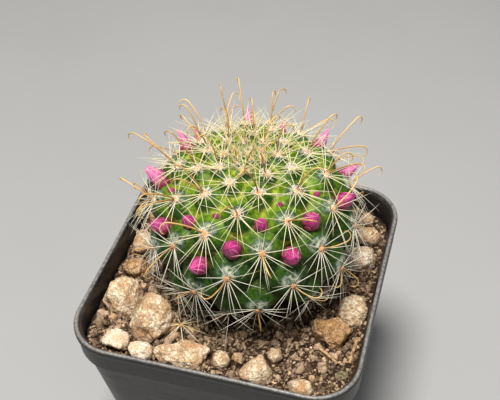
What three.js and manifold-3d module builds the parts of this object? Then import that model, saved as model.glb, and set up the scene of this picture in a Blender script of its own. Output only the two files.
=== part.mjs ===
// A round hook-spined cactus in a square nursery pot.
//
// Millimetres, +Z up. The origin is the centre of the pot's underside, and the pot's sides lie along X and Y.
// The stem is a low leaning globe. Its tubercles follow one spiral with a near golden turn from each to the
// next, so rows of 8 and of 13 cross over the stem. Every tubercle ends in an areole with thin spines round
// one long hooked spine. The flower buds stand in a ring in the hollows between the tubercles.

import * as THREE from 'three';
import { ConvexHull } from 'three/addons/math/ConvexHull.js';
import { mergeVertices } from 'three/addons/utils/BufferGeometryUtils.js';
import Module from 'manifold-3d';

const wasm = await Module();
wasm.setup();

// Clearance that every piece keeps to its neighbour
const GAP = 0.3;

// Pot
const POT_SIDE = 55;
const POT_HEIGHT = 50;
const POT_WALL = 1.0;
const POT_FLOOR = 1.4;
const BASE_SIDE = 42;
const RIM_CORNER = 8.8;
const BODY_CORNER = 7.6;
const BASE_CORNER = 6;
const COLLAR_DEPTH = 6.4;
const COLLAR_STEP = 0.9;
const BEAD_DEPTH = 1.7;
const BEAD_PROUD = 0.3;
const DRAIN_RADIUS = 2.6;
const DRAIN_OFFSET = 12.5;

// Soil
const SOIL_DEPTH = 5.0;
const SOIL_RISE = 0.8;
const SOIL_LUMP = 0.35;

// Stem: a rounder top half and an elliptic lower half that runs down into the root neck
const STEM_CENTRE = new THREE.Vector3(1.35, 2.8, POT_HEIGHT + 8.06);
const STEM_LEAN = new THREE.Vector2(-0.0508, 0.0654);
const STEM_RADIUS = 20.25;
const STEM_TOP = 17.4;
const STEM_BOTTOM = 13.0;
const STEM_FULLNESS = 2.53;
const NECK_RADIUS = 8.5;
const ROOT_LENGTH = 9;

// Tubercles: turn from each to the next, and distance from the crown along the stem's surface
const TURN = THREE.MathUtils.degToRad(137.375);
const SPIRAL_START = -1.4123;
const SPIRAL_REACH = 14.13;
const SPIRAL_MIDDLE = 40;
const SPIRAL_POWER = 1.432;
const FIRST_TUBERCLE = 7;
const LAST_TUBERCLE = 86;
const TUBERCLE_DEPTH = 0.45;
const TUBERCLE_SHARPNESS = 1.9;
const HOLLOW_REACH = 0.72;
const SHOULDER_REACH = 0.28;
const FILL_PER_TUBERCLE = 8;
const FILL_CLEARANCE = 0.42;

// Spines
const SPINE_LENGTH = 8.2;
const SPINE_RADIUS = 0.17;
const SPINE_LIFT = 13;
const HOOK_LENGTH = 8.2;
const HOOK_RADIUS = 0.2;
const HOOK_BEND = 0.9;
const YOUNG_TUBERCLE = 24;

// Buds: grown ones over a run of tubercles, with one hollow left empty, and small ones over a few higher up
const GROWN_BUDS = { first: 53, last: 69, empty: 55 };
const SMALL_BUDS = [45, 48, 50, 51];
const BUD_LENGTH = 4.4;
const BUD_RADIUS = 1.65;
const SMALL_BUD_SCALE = 0.5;

const materials = {
  pot: { color: 0x26272a, roughness: 0.5, metalness: 0 },
  soil: { color: 0x4a3527, roughness: 0.95, metalness: 0 },
  cactus: { color: 0x3f6b2c, roughness: 0.6, metalness: 0 },
  bud: { color: 0xc02c7e, roughness: 0.55, metalness: 0 },
  cream: { color: 0xd9c2a0, roughness: 0.9, metalness: 0 },
  brown: { color: 0x8c6a4a, roughness: 0.95, metalness: 0 },
  green: { color: 0x9aa583, roughness: 0.9, metalness: 0 },
  straw: { color: 0xa88a62, roughness: 0.85, metalness: 0 },
};

// A repeatable random draw from 0 to 1
function makeRandom(seed) {
  let state = seed;
  return () => {
    state = (state * 1664525 + 1013904223) % 4294967296;
    return state / 4294967296;
  };
}

// Solid through a row of rings with equal counts. A ring of one point is a pole, and any other end is capped.
// Each ring runs anticlockwise as seen from ahead of the row's travel.
function loft(rings) {
  const positions = [];
  const index = [];
  const starts = rings.map((ring) => {
    const start = positions.length / 3;
    ring.forEach((p) => positions.push(p.x, p.y, p.z));
    return start;
  });
  const cap = (ring, start, flip) => {
    const centre = ring.reduce((sum, p) => sum.add(p), new THREE.Vector3()).divideScalar(ring.length);
    const middle = positions.length / 3;
    positions.push(centre.x, centre.y, centre.z);
    ring.forEach((_, i) => {
      const here = start + i;
      const next = start + (i + 1) % ring.length;
      index.push(middle, flip ? next : here, flip ? here : next);
    });
  };
  for (let k = 0; k + 1 < rings.length; k += 1) {
    const count = Math.max(rings[k].length, rings[k + 1].length);
    for (let i = 0; i < count; i += 1) {
      const j = (i + 1) % count;
      const a = starts[k];
      const b = starts[k + 1];
      if (rings[k].length > 1 && rings[k + 1].length > 1) {
        index.push(a + i, a + j, b + j, a + i, b + j, b + i);
      } else if (rings[k].length > 1) {
        index.push(a + i, a + j, b);
      } else {
        index.push(a, b + j, b + i);
      }
    }
  }
  if (rings[0].length > 1) cap(rings[0], starts[0], true);
  const last = rings.length - 1;
  if (rings[last].length > 1) cap(rings[last], starts[last], false);
  const geometry = new THREE.BufferGeometry();
  geometry.setAttribute('position', new THREE.Float32BufferAttribute(positions, 3));
  geometry.setIndex(index);
  return geometry;
}

function toSolid(geometry) {
  const vertProperties = new Float32Array(geometry.attributes.position.array);
  const triVerts = new Uint32Array(geometry.index.array);
  return new wasm.Manifold(new wasm.Mesh({ numProp: 3, vertProperties, triVerts }));
}

function toGeometry(solid) {
  const mesh = solid.getMesh();
  const geometry = new THREE.BufferGeometry();
  geometry.setAttribute('position', new THREE.BufferAttribute(new Float32Array(mesh.vertProperties), 3));
  geometry.setIndex(new THREE.BufferAttribute(new Uint32Array(mesh.triVerts), 1));
  return geometry;
}

// The largest body of a solid, as one piece without sealed hollows
function largestBody(solid) {
  return solid.decompose().reduce((best, body) => (body.volume() > best.volume() ? body : best));
}

// Outline of a square with round corners, with points along its straight sides too
function squareRing(half, corner, z, cornerSteps, sideSteps) {
  const ring = [];
  const flat = half - corner;
  const quarter = Math.PI / 2;
  for (let side = 0; side < 4; side += 1) {
    const turn = side * quarter;
    for (let i = 0; i <= cornerSteps; i += 1) {
      const angle = quarter * (i / cornerSteps);
      const x = flat + corner * Math.cos(angle);
      const y = flat + corner * Math.sin(angle);
      ring.push(new THREE.Vector3(x, y, z).applyAxisAngle(new THREE.Vector3(0, 0, 1), turn));
    }
    for (let i = 1; i < sideSteps; i += 1) {
      const x = flat - 2 * flat * (i / sideSteps);
      ring.push(new THREE.Vector3(x, half, z).applyAxisAngle(new THREE.Vector3(0, 0, 1), turn));
    }
  }
  return ring;
}

// Half width and corner radius of the pot's outside at a height under the collar
function potBody(z) {
  const top = POT_HEIGHT - COLLAR_DEPTH;
  const t = z / top;
  return {
    half: THREE.MathUtils.lerp(BASE_SIDE / 2, POT_SIDE / 2 - BEAD_PROUD - COLLAR_STEP, t),
    corner: THREE.MathUtils.lerp(BASE_CORNER, BODY_CORNER, t),
  };
}

// Half width and corner radius of the pot's inside at a height
function potInside(z) {
  const ledge = POT_HEIGHT - COLLAR_DEPTH;
  if (z <= ledge - 1) {
    const body = potBody(z);
    return { half: body.half - POT_WALL, corner: body.corner - POT_WALL };
  }
  const t = Math.min(1, z - ledge + 1);
  const below = potBody(ledge - 1);
  return {
    half: THREE.MathUtils.lerp(below.half - POT_WALL, POT_SIDE / 2 - BEAD_PROUD - POT_WALL, t),
    corner: THREE.MathUtils.lerp(below.corner - POT_WALL, RIM_CORNER - POT_WALL, t),
  };
}

function makePot() {
  const cornerSteps = 5;
  const ring = (half, corner, z) => squareRing(half, corner, z, cornerSteps, 1);
  const rim = POT_SIDE / 2;
  const collar = rim - BEAD_PROUD;
  const ledge = POT_HEIGHT - COLLAR_DEPTH;
  const bevel = 0.6;
  const base = potBody(bevel);
  const shoulder = potBody(ledge);
  const outside = [
    ring(BASE_SIDE / 2 - bevel, BASE_CORNER - bevel, 0),
    ring(base.half, base.corner, bevel),
    ring(shoulder.half, shoulder.corner, ledge),
    ring(collar, RIM_CORNER, ledge + bevel),
    ring(collar, RIM_CORNER, POT_HEIGHT - BEAD_DEPTH),
    ring(rim, RIM_CORNER, POT_HEIGHT - BEAD_DEPTH + BEAD_PROUD),
    ring(rim, RIM_CORNER, POT_HEIGHT - BEAD_PROUD),
    ring(collar, RIM_CORNER - BEAD_PROUD, POT_HEIGHT),
  ];
  const inside = [POT_HEIGHT, ledge, ledge - 1, POT_FLOOR].map((z) => {
    const { half, corner } = potInside(z);
    return ring(half, corner, z);
  });
  let pot = toSolid(loft([...outside, ...inside]));
  for (const [sx, sy] of [[1, 1], [-1, 1], [-1, -1], [1, -1]]) {
    const drill = new THREE.CylinderGeometry(DRAIN_RADIUS, DRAIN_RADIUS, 4 * POT_FLOOR, 12);
    drill.rotateX(Math.PI / 2);
    drill.translate(sx * DRAIN_OFFSET, sy * DRAIN_OFFSET, POT_FLOOR / 2);
    pot = pot.subtract(toSolid(bare(drill)));
  }
  return toGeometry(pot);
}

// A geometry with nothing but merged positions, ready to become a solid
function bare(geometry) {
  geometry.deleteAttribute('normal');
  geometry.deleteAttribute('uv');
  return mergeVertices(geometry);
}

// Height of the soil: crumbly, and a little higher towards the front
function soilHeight(x, y) {
  const level = POT_HEIGHT - SOIL_DEPTH - SOIL_RISE * (y / POT_SIDE);
  const lumps = Math.sin(1.1 * x + 0.7) * Math.cos(0.9 * y) + 0.7 * Math.sin(1.7 * y - 2.3 * x + 1.3);
  return level + SOIL_LUMP * lumps;
}

function makeSoil(beds) {
  const cornerSteps = 4;
  const sideSteps = 6;
  const ring = (z) => {
    const { half, corner } = potInside(z);
    return squareRing(half - GAP, corner - GAP, z, cornerSteps, sideSteps);
  };
  const ledge = POT_HEIGHT - COLLAR_DEPTH;
  const rings = [ring(POT_FLOOR + GAP), ring(ledge - 1), ring(ledge)];
  const edge = rings[2];
  for (const shrink of [1, 0.91, 0.8, 0.68, 0.56, 0.44]) {
    const inward = edge.map((p) => {
      const x = p.x * shrink;
      const y = p.y * shrink;
      return new THREE.Vector3(x, y, soilHeight(x, y));
    });
    rings.push(inward);
  }
  const soil = beds.reduce((solid, bed) => solid.subtract(bed), toSolid(loft(rings)));
  return toGeometry(largestBody(soil));
}

// Profile of the stem: arc length from the crown to radius and height, from the crown to the root's tip
function makeProfile() {
  const points = [];
  const steps = 240;
  for (let i = 0; i <= steps; i += 1) {
    const angle = Math.PI * (i / steps);
    const upper = angle <= Math.PI / 2;
    const power = upper ? 2 / STEM_FULLNESS : 1;
    const height = upper ? STEM_TOP : STEM_BOTTOM;
    const r = STEM_RADIUS * Math.sin(angle) ** power;
    const z = height * Math.sign(Math.cos(angle)) * Math.abs(Math.cos(angle)) ** power;
    if (!upper && r < NECK_RADIUS) break;
    points.push(new THREE.Vector2(r, z));
  }
  const neck = points[points.length - 1];
  const root = [[0.96, 0.12], [0.9, 0.35], [0.78, 0.6], [0.55, 0.83], [0.28, 0.96], [0, 1]];
  root.forEach(([r, z]) => points.push(new THREE.Vector2(NECK_RADIUS * r, neck.y - ROOT_LENGTH * z)));
  const lengths = [0];
  for (let i = 1; i < points.length; i += 1) {
    lengths.push(lengths[i - 1] + points[i].distanceTo(points[i - 1]));
  }
  const neckLength = lengths[points.length - root.length - 1];
  return { points, lengths, neckLength, total: lengths[lengths.length - 1] };
}

const profile = makeProfile();

function profileAt(s) {
  const { points, lengths, total } = profile;
  const reach = THREE.MathUtils.clamp(s, 0, total);
  let i = 1;
  while (i < lengths.length - 1 && lengths[i] < reach) i += 1;
  const t = (reach - lengths[i - 1]) / (lengths[i] - lengths[i - 1]);
  const point = points[i - 1].clone().lerp(points[i], t);
  const tangent = points[i].clone().sub(points[i - 1]).normalize();
  return { r: point.x, z: point.y, tangent };
}

// From the stem's own frame, with its crown up, to the part's frame
function makeStemFrame() {
  const up = new THREE.Vector3(STEM_LEAN.x, STEM_LEAN.y, 1).normalize();
  const side = new THREE.Vector3(0, 1, 0).cross(up).normalize();
  const back = up.clone().cross(side);
  return new THREE.Matrix4().makeBasis(side, back, up).setPosition(STEM_CENTRE);
}

const stemFrame = makeStemFrame();

// A place on the stem's surface, with its outward, downward and sideways directions in the part's frame
function onStem(s, angle, height = 0) {
  const { r, z, tangent } = profileAt(s);
  const turn = (radial, along) => (
    new THREE.Vector3(radial * Math.cos(angle), radial * Math.sin(angle), along)
  );
  const out = turn(-tangent.y, tangent.x);
  const point = turn(r, z).addScaledVector(out, height);
  const down = turn(tangent.x, tangent.y);
  return {
    point: point.applyMatrix4(stemFrame),
    out: out.transformDirection(stemFrame),
    down: down.transformDirection(stemFrame),
    side: new THREE.Vector3(-Math.sin(angle), Math.cos(angle), 0).transformDirection(stemFrame),
  };
}

const spiralReach = (n) => SPIRAL_REACH * (n / SPIRAL_MIDDLE) ** SPIRAL_POWER;
const spiralAngle = (n) => SPIRAL_START - TURN * (n - SPIRAL_MIDDLE);

// Distance between neighbouring tubercles round place n of the spiral
function spacing(n) {
  const step = spiralReach(n) * SPIRAL_POWER / n;
  const { r } = profileAt(spiralReach(n));
  return Math.sqrt(2 * Math.PI * r * step / Math.cos(Math.PI / 6));
}

function makeTubercles() {
  const list = [];
  for (let n = FIRST_TUBERCLE; n <= LAST_TUBERCLE; n += 1) {
    const s = spiralReach(n);
    const angle = spiralAngle(n);
    list.push({ n, s, angle, width: spacing(n), ...onStem(s, angle) });
  }
  return list;
}

const tubercles = makeTubercles();

// How far the surface lies under the tubercles' tips at a place on the stem
function hollowAt(point) {
  let nearest = Infinity;
  let width = 1;
  for (const tubercle of tubercles) {
    const distance = tubercle.point.distanceTo(point) / tubercle.width;
    if (distance < nearest) {
      nearest = distance;
      width = tubercle.width;
    }
  }
  const t = Math.min(1, nearest / HOLLOW_REACH);
  return { nearest, depth: TUBERCLE_DEPTH * width * t ** TUBERCLE_SHARPNESS };
}

// Surface points of the stem: tubercle tips, a ring of shoulders round each tip, and the hollows between
function stemSamples() {
  const samples = [{ s: 0, angle: 0 }];
  const shoulders = 6;
  for (const { n, s, angle, width } of tubercles) {
    samples.push({ s, angle, tip: true });
    const { r } = profileAt(s);
    for (let i = 0; i < shoulders; i += 1) {
      const bearing = (2 * Math.PI * (i + n / 2)) / shoulders;
      const along = SHOULDER_REACH * width * Math.cos(bearing);
      const across = SHOULDER_REACH * width * Math.sin(bearing);
      samples.push({ s: s + along, angle: angle + across / r });
    }
  }
  const golden = Math.PI * (3 - Math.sqrt(5));
  const fills = Math.floor((LAST_TUBERCLE + 1) * FILL_PER_TUBERCLE);
  for (let i = FIRST_TUBERCLE * FILL_PER_TUBERCLE; i < fills; i += 1) {
    const place = { s: spiralReach(i / FILL_PER_TUBERCLE), angle: i * golden };
    if (place.s > profile.neckLength - 1) break;
    if (hollowAt(onStem(place.s, place.angle).point).nearest > FILL_CLEARANCE) samples.push(place);
  }
  const neckSides = 14;
  const neckRings = 5;
  for (let k = 0; k < neckRings; k += 1) {
    const s = THREE.MathUtils.lerp(profile.neckLength, profile.total, k / neckRings);
    for (let i = 0; i < neckSides; i += 1) {
      samples.push({ s, angle: (2 * Math.PI * (i + (k % 2) / 2)) / neckSides, smooth: true });
    }
  }
  samples.push({ s: profile.total, angle: 0, smooth: true });
  return samples;
}

// The stem as one skin: its samples are joined as a hull on a ball, and then laid on the tubercles' form
function makeStem() {
  const samples = stemSamples();
  const ball = samples.map(({ s, angle }) => {
    const polar = Math.PI * (s / profile.total);
    return new THREE.Vector3().setFromSphericalCoords(1, polar, angle);
  });
  const numbers = new Map(ball.map((p, i) => [p, i]));
  const positions = samples.flatMap(({ s, angle, tip, smooth }) => {
    const base = onStem(s, angle);
    const sunk = tip || smooth ? 0 : hollowAt(base.point).depth;
    return onStem(s, angle, -sunk).point.toArray();
  });
  const index = [];
  for (const face of new ConvexHull().setFromPoints(ball).faces) {
    const corners = [];
    let edge = face.edge;
    do {
      corners.push(numbers.get(edge.head().point));
      edge = edge.next;
    } while (edge !== face.edge);
    for (let i = 1; i + 1 < corners.length; i += 1) index.push(corners[0], corners[i], corners[i + 1]);
  }
  const geometry = new THREE.BufferGeometry();
  geometry.setAttribute('position', new THREE.Float32BufferAttribute(positions, 3));
  geometry.setIndex(index);
  return geometry;
}

// A bud stands in the hollow above tubercle n, between the two tubercles 8 and 13 places before it
function makeBudPlace(n, along, height, scale) {
  const m = n - (8 + 13) * along;
  const turn8 = 8 * TURN - 3 * 2 * Math.PI;
  const turn13 = 13 * TURN - 5 * 2 * Math.PI;
  const angle = spiralAngle(n) + (turn8 + turn13) * along;
  const { point, out, down } = onStem(spiralReach(m), angle, height);
  const axis = out.clone().addScaledVector(down, -0.25).normalize();
  const length = BUD_LENGTH * scale;
  const base = point.addScaledVector(axis, -length / 2);
  return { n, base, axis, length, radius: BUD_RADIUS * scale };
}

function makeBudPlaces() {
  const places = SMALL_BUDS.map((n) => makeBudPlace(n, 0.32, -1.1, SMALL_BUD_SCALE));
  for (let n = GROWN_BUDS.first; n <= GROWN_BUDS.last; n += 1) {
    if (n !== GROWN_BUDS.empty) places.push(makeBudPlace(n, 0.45, -0.5, 1));
  }
  return places;
}

const budPlaces = makeBudPlaces();

// Heights of a bud's rings as shares of its length, and their radii as shares of its widest radius
const BUD_FORM = [[0.1, 0.66], [0.38, 1], [0.62, 0.9], [0.86, 0.42]];
const BUD_SEAT_FORM = [[0.05, 0.7], [0.38, 1], [0.9, 0.8]];

// A closed bud: an egg drawn to a point, fluted by its twisted outer petals. With room, it is the plain
// hollow that the bud stands in.
function makeBud({ base, axis, length, radius, n }, room = 0) {
  const petals = 5;
  const sides = room ? 6 : 2 * petals;
  const twist = 1.1;
  const turned = new THREE.Quaternion().setFromUnitVectors(new THREE.Vector3(0, 0, 1), axis);
  const place = (x, y, z) => new THREE.Vector3(x, y, z).applyQuaternion(turned).add(base);
  const rings = [[place(0, 0, -room)]];
  for (const [t, swell] of room ? BUD_SEAT_FORM : BUD_FORM) {
    const ring = [];
    for (let i = 0; i < sides; i += 1) {
      const angle = (2 * Math.PI * i) / sides;
      const flute = room ? 0 : 0.08 * (1 - Math.cos(petals * angle));
      const r = (radius * swell * (1 - flute / 2) + room) / (room ? Math.cos(Math.PI / sides) : 1);
      const turn = angle + twist * t + n;
      ring.push(place(r * Math.cos(turn), r * Math.sin(turn), length * t + room * (2 * t - 1)));
    }
    rings.push(ring);
  }
  rings.push([place(0, 0, length + 1.5 * room)]);
  return loft(rings);
}

// Stones, by hand: place across and along the pot, size along X, Y and Z, turn, and how high each stands as a
// share of its height. A kind is given where it isn't cream.
const stones = [
  { name: 'left_large', at: [-13.8, -16.1], size: [9.2, 8.4, 10.4], turn: 0.5, stand: 0.42 },
  { name: 'left_upper', at: [-21.5, -11.3], size: [8.8, 9.0, 8.8], turn: 1.1, stand: 0.3 },
  { name: 'left_middle', at: [-22.1, -3.2], size: [5.8, 5.4, 5.2], turn: 0.2, stand: 0.35, kind: 'brown' },
  { name: 'left_back', at: [-22.6, 2.9], size: [5.4, 6.2, 6.0], turn: 0.9, stand: 0.35 },
  { name: 'corner_left', at: [-18.9, -22.1], size: [5.0, 4.4, 4.0], turn: 0.4, stand: 0.35 },
  { name: 'front_round', at: [-13.6, -23.2], size: [4.4, 3.8, 4.2], turn: 0, stand: 0.4 },
  { name: 'front_long', at: [-5.8, -22.0], size: [11.0, 5.6, 5.4], turn: 0.12, stand: 0.35 },
  { name: 'front_small', at: [1.4, -20.9], size: [3.8, 3.6, 3.4], turn: 0.7, stand: 0.3 },
  { name: 'front_chip', at: [4.5, -19.5], size: [2.8, 3.2, 2.8], turn: 1.3, stand: 0.3 },
  { name: 'front_tall', at: [8.7, -21.5], size: [6.2, 6.2, 6.0], turn: 0.3, stand: 0.35 },
  { name: 'middle_chip', at: [10.8, -17.0], size: [3.2, 3.4, 3.6], turn: 0.8, stand: 0.35 },
  { name: 'front_wedge', at: [17.2, -23.2], size: [5.4, 4.2, 4.4], turn: -0.3, stand: 0.35 },
  { name: 'right_brown', at: [19.6, -9.4], size: [7.8, 6.6, 6.4], turn: -0.4, stand: 0.35, kind: 'brown' },
  { name: 'right_large', at: [22.8, -3.4], size: [5.8, 6.6, 7.2], turn: 0.2, stand: 0.33 },
  { name: 'right_green', at: [23.4, -17.8], size: [3.6, 2.6, 2.0], turn: 0.3, stand: 0.25, kind: 'green' },
  { name: 'right_bright', at: [21.4, 9.9], size: [7.8, 6.0, 5.8], turn: 0.3, stand: 0.4 },
  { name: 'right_back', at: [21.8, 17.1], size: [5.8, 4.8, 4.4], turn: -0.2, stand: 0.35 },
  { name: 'corner_right', at: [20.9, 22.0], size: [3.8, 3.4, 3.2], turn: 0.6, stand: 0.3 },
  { name: 'back_right', at: [10.5, 23.2], size: [5.4, 4.4, 4.0], turn: 0.1, stand: 0.3, kind: 'brown' },
  { name: 'back_middle', at: [-5.0, 23.1], size: [5.0, 4.6, 4.2], turn: 0.5, stand: 0.3 },
  { name: 'back_left', at: [-16.5, 20.8], size: [6.4, 5.8, 5.0], turn: 0.9, stand: 0.35 },
  { name: 'left_chip', at: [-22.9, 12.8], size: [4.4, 4.8, 4.0], turn: 0.2, stand: 0.3, kind: 'brown' },
];

// A stone no larger than this is a plain chip
const CHIP_SIZE = 3.7;

// 2 would make every stone's block an ellipsoid, and more makes its corners fuller
const STONE_SQUARENESS = 3;

// Deepest dent at a stone's corners, and its flat cuts' distances from its middle, as shares of its half size
const STONE_DENT = 0.16;
const STONE_CUTS = { count: 5, least: 0.66, most: 0.86 };

// A stone whose stand is this share rests with its middle level with the soil
const STONE_LEVEL = 0.25;

// 1 on the surface of a round-cornered block with half sides of 1, and less inside it
function blockReach(x, y, z) {
  const power = STONE_SQUARENESS;
  return (Math.abs(x) ** power + Math.abs(y) ** power + Math.abs(z) ** power) ** (1 / power);
}

function stoneCentre({ at, size, stand }) {
  const [x, y] = at;
  return new THREE.Vector3(x, y, soilHeight(x, y) + size[2] * (stand - STONE_LEVEL));
}

// A rough broken lump in a round-cornered block of its size, dented at its corners and cut flat in places
function makeStone(stone, room = 0) {
  const random = makeRandom(Math.round(977 + 31 * stone.at[0] + 57 * stone.at[1]));
  const lump = bare(new THREE.IcosahedronGeometry(1, Math.max(...stone.size) > CHIP_SIZE ? 1 : 0));
  const half = stone.size.map((width) => width / 2 + room);
  const cuts = Array.from({ length: STONE_CUTS.count }, () => ({
    facing: new THREE.Vector3(random() - 0.5, random() - 0.5, random() - 0.5).normalize(),
    depth: THREE.MathUtils.lerp(STONE_CUTS.least, STONE_CUTS.most, random()),
  }));
  const corners = lump.attributes.position;
  const p = new THREE.Vector3();
  for (let i = 0; i < corners.count; i += 1) {
    p.fromBufferAttribute(corners, i);
    p.multiplyScalar((1 - STONE_DENT * random()) / blockReach(p.x, p.y, p.z));
    for (const { facing, depth } of cuts) {
      const over = p.dot(facing) - depth;
      if (over > 0) p.addScaledVector(facing, -over);
    }
    corners.setXYZ(i, p.x * half[0], p.y * half[1], p.z * half[2]);
  }
  lump.rotateZ(stone.turn);
  return lump.translate(...stoneCentre(stone).toArray());
}

// Straws, by hand: ends on the soil
const straws = [
  { name: 'straw_inner', from: [18.6, -13.4], to: [22.4, -15.8], radius: 0.32 },
  { name: 'straw_outer', from: [24.9, -9.3], to: [24.6, -15.4], radius: 0.36 },
];

// A dry straw lying on the soil, half bedded in it
function makeStraw({ from, to, radius }, room = 0) {
  const ends = [from, to].map(([x, y]) => new THREE.Vector3(x, y, soilHeight(x, y) + radius));
  const middle = ends[0].clone().lerp(ends[1], 0.5);
  middle.z = Math.max(middle.z, soilHeight(middle.x, middle.y) + radius);
  const along = ends[1].clone().sub(ends[0]).normalize();
  const side = new THREE.Vector3(0, 0, 1).cross(along).normalize();
  const up = along.clone().cross(side);
  const stretch = [-1, 0, 1].map((k) => along.clone().multiplyScalar(k * room));
  const sides = 5;
  const rings = [ends[0], middle, ends[1]].map((centre, k) => {
    const ring = [];
    for (let i = 0; i < sides; i += 1) {
      const angle = (2 * Math.PI * i) / sides;
      const p = centre.clone().add(stretch[k]);
      p.addScaledVector(side, (radius + room) * Math.cos(angle));
      ring.push(p.addScaledVector(up, (radius + room) * Math.sin(angle)));
    }
    return ring;
  });
  return loft(rings);
}

// Whether a point of a spine comes too near a bud, a stone, the soil or the pot's wall
function isBlocked(p) {
  const margin = 0.5;
  const alongBud = new THREE.Vector3();
  for (const { base, axis, length, radius } of budPlaces) {
    const t = THREE.MathUtils.clamp(alongBud.copy(p).sub(base).dot(axis), 0, length);
    const near = base.clone().addScaledVector(axis, t);
    if (near.distanceTo(p) < radius + margin) return true;
  }
  if (p.z > POT_HEIGHT + 8) return false;
  for (const stone of stones) {
    const q = p.clone().sub(stoneCentre(stone)).applyAxisAngle(new THREE.Vector3(0, 0, 1), -stone.turn);
    const size = stone.size.map((width) => width / 2 + margin);
    if (blockReach(q.x / size[0], q.y / size[1], q.z / size[2]) < 1) return true;
  }
  if (p.z < soilHeight(p.x, p.y) + 2 * margin) return true;
  const wall = POT_SIDE / 2 - BEAD_PROUD - POT_WALL - margin;
  return p.z < POT_HEIGHT + margin && Math.max(Math.abs(p.x), Math.abs(p.y)) > wall;
}

// Direction from an areole: bearing turns from straight down the stem, lift raises it off the surface
function spineDirection({ out, down, side }, bearing, lift) {
  const flat = down.clone().multiplyScalar(Math.cos(bearing)).addScaledVector(side, Math.sin(bearing));
  return flat.multiplyScalar(Math.cos(lift)).addScaledVector(out, Math.sin(lift));
}

// A straight spine: three sides, drawn to a point, its root sunk under the areole
function makeSpine(tubercle, bearing, length, lift, radius) {
  const root = tubercle.point.clone().addScaledVector(tubercle.out, -0.075 * tubercle.width);
  const tip = tubercle.point.clone().addScaledVector(spineDirection(tubercle, bearing, lift), length);
  return makeTaper([root, tip], radius);
}

// The line of a hooked spine: a shaft, and a half turn back at its end
function hookLine(tubercle, bearing, length, lift) {
  const shaft = spineDirection(tubercle, bearing, lift);
  const curl = tubercle.down.clone().addScaledVector(shaft, -tubercle.down.dot(shaft)).normalize();
  const line = [tubercle.point.clone().addScaledVector(tubercle.out, -0.1 * tubercle.width)];
  const end = tubercle.point.clone().addScaledVector(shaft, length);
  line.push(tubercle.point.clone().lerp(end, 0.55).addScaledVector(curl, -0.03 * length), end);
  for (const degrees of [65, 130, 195]) {
    const angle = THREE.MathUtils.degToRad(degrees);
    const p = end.clone().addScaledVector(curl, HOOK_BEND * (1 - Math.cos(angle)));
    line.push(p.addScaledVector(shaft, HOOK_BEND * Math.sin(angle)));
  }
  return line;
}

// Three-sided taper along a flat curve: thinner along its length, and a point at its end
function makeTaper(line, radius) {
  const sides = 3;
  const first = line[1].clone().sub(line[0]);
  const last = line[line.length - 1].clone().sub(line[line.length - 2]);
  let across = first.clone().cross(last);
  if (across.length() < 1e-6) across = first.clone().cross(new THREE.Vector3(0.3, 0.5, 0.8));
  across.normalize();
  const rings = line.map((p, k) => {
    if (k === line.length - 1) return [p];
    const ahead = line[k + 1].clone().sub(line[Math.max(0, k - 1)]).normalize();
    const normal = across.clone().cross(ahead);
    const width = radius * (1 - 0.45 * (k / (line.length - 1)));
    const ring = [];
    for (let i = 0; i < sides; i += 1) {
      const angle = (2 * Math.PI * i) / sides;
      const q = p.clone().addScaledVector(normal, width * Math.cos(angle));
      ring.push(q.addScaledVector(across, width * Math.sin(angle)));
    }
    return ring;
  });
  return loft(rings);
}

// The first lift that keeps a line clear of everything round the stem, or null
function clearLift(lineAt, start) {
  for (let degrees = start; degrees < 90; degrees += 7) {
    const line = lineAt(THREE.MathUtils.degToRad(degrees));
    const clear = line.slice(1).every((end, k) => [0.3, 0.5, 0.7, 0.85, 1].every((t) => (
      !isBlocked(line[k].clone().lerp(end, t))
    )));
    if (clear) return THREE.MathUtils.degToRad(degrees);
  }
  return null;
}

function makeSpines() {
  const random = makeRandom(4127);
  const spines = [];
  for (const tubercle of tubercles) {
    const growth = Math.min(1, tubercle.n / YOUNG_TUBERCLE);
    const count = tubercle.n < YOUNG_TUBERCLE ? 3 : 5;
    const stand = THREE.MathUtils.lerp(58, SPINE_LIFT, growth);
    const turn = random();
    for (let i = 0; i < count; i += 1) {
      const bearing = (2 * Math.PI * (i + turn + 0.3 * random())) / count;
      const length = SPINE_LENGTH * (0.45 + 0.55 * growth) * (0.85 + 0.15 * random());
      const lineAt = (lift) => [tubercle.point, tubercle.point.clone()
        .addScaledVector(spineDirection(tubercle, bearing, lift), length)];
      const lift = clearLift(lineAt, stand + 6 * random());
      if (lift !== null) spines.push(makeSpine(tubercle, bearing, length, lift, SPINE_RADIUS));
    }
    const bearing = Math.PI * 2 * random();
    const length = HOOK_LENGTH * (0.6 + 0.4 * growth) * (0.9 + 0.1 * random());
    const lift = clearLift((angle) => hookLine(tubercle, bearing, length, angle), 60 + 20 * random());
    if (lift !== null) spines.push(makeTaper(hookLine(tubercle, bearing, length, lift), HOOK_RADIUS));
  }
  return spines;
}

function makeCactus() {
  const grown = makeSpines().reduce((solid, spine) => solid.add(toSolid(spine)), toSolid(makeStem()));
  const seated = budPlaces.reduce((solid, place) => solid.subtract(toSolid(makeBud(place, GAP))), grown);
  return toGeometry(largestBody(seated));
}

// The root's hole in the soil: the neck and root, a little wider all round
function makeRootHole() {
  const sides = 16;
  const rings = [];
  const steps = 6;
  for (let k = 0; k <= steps; k += 1) {
    const s = THREE.MathUtils.lerp(profile.total, profile.neckLength - 5, k / steps);
    const ring = [];
    for (let i = 0; i < sides; i += 1) {
      const place = onStem(s, (2 * Math.PI * i) / sides, k ? 2 * GAP : 0);
      ring.push(place.point);
    }
    rings.push(k ? ring : [onStem(profile.total, 0, 2 * GAP).point]);
  }
  return loft(rings);
}

function addPiece(group, name, geometry, kind) {
  const piece = new THREE.Mesh(geometry, new THREE.MeshStandardMaterial(materials[kind]));
  piece.name = name;
  group.add(piece);
}

const cactusInPot = new THREE.Group();
addPiece(cactusInPot, 'pot', makePot(), 'pot');

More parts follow.
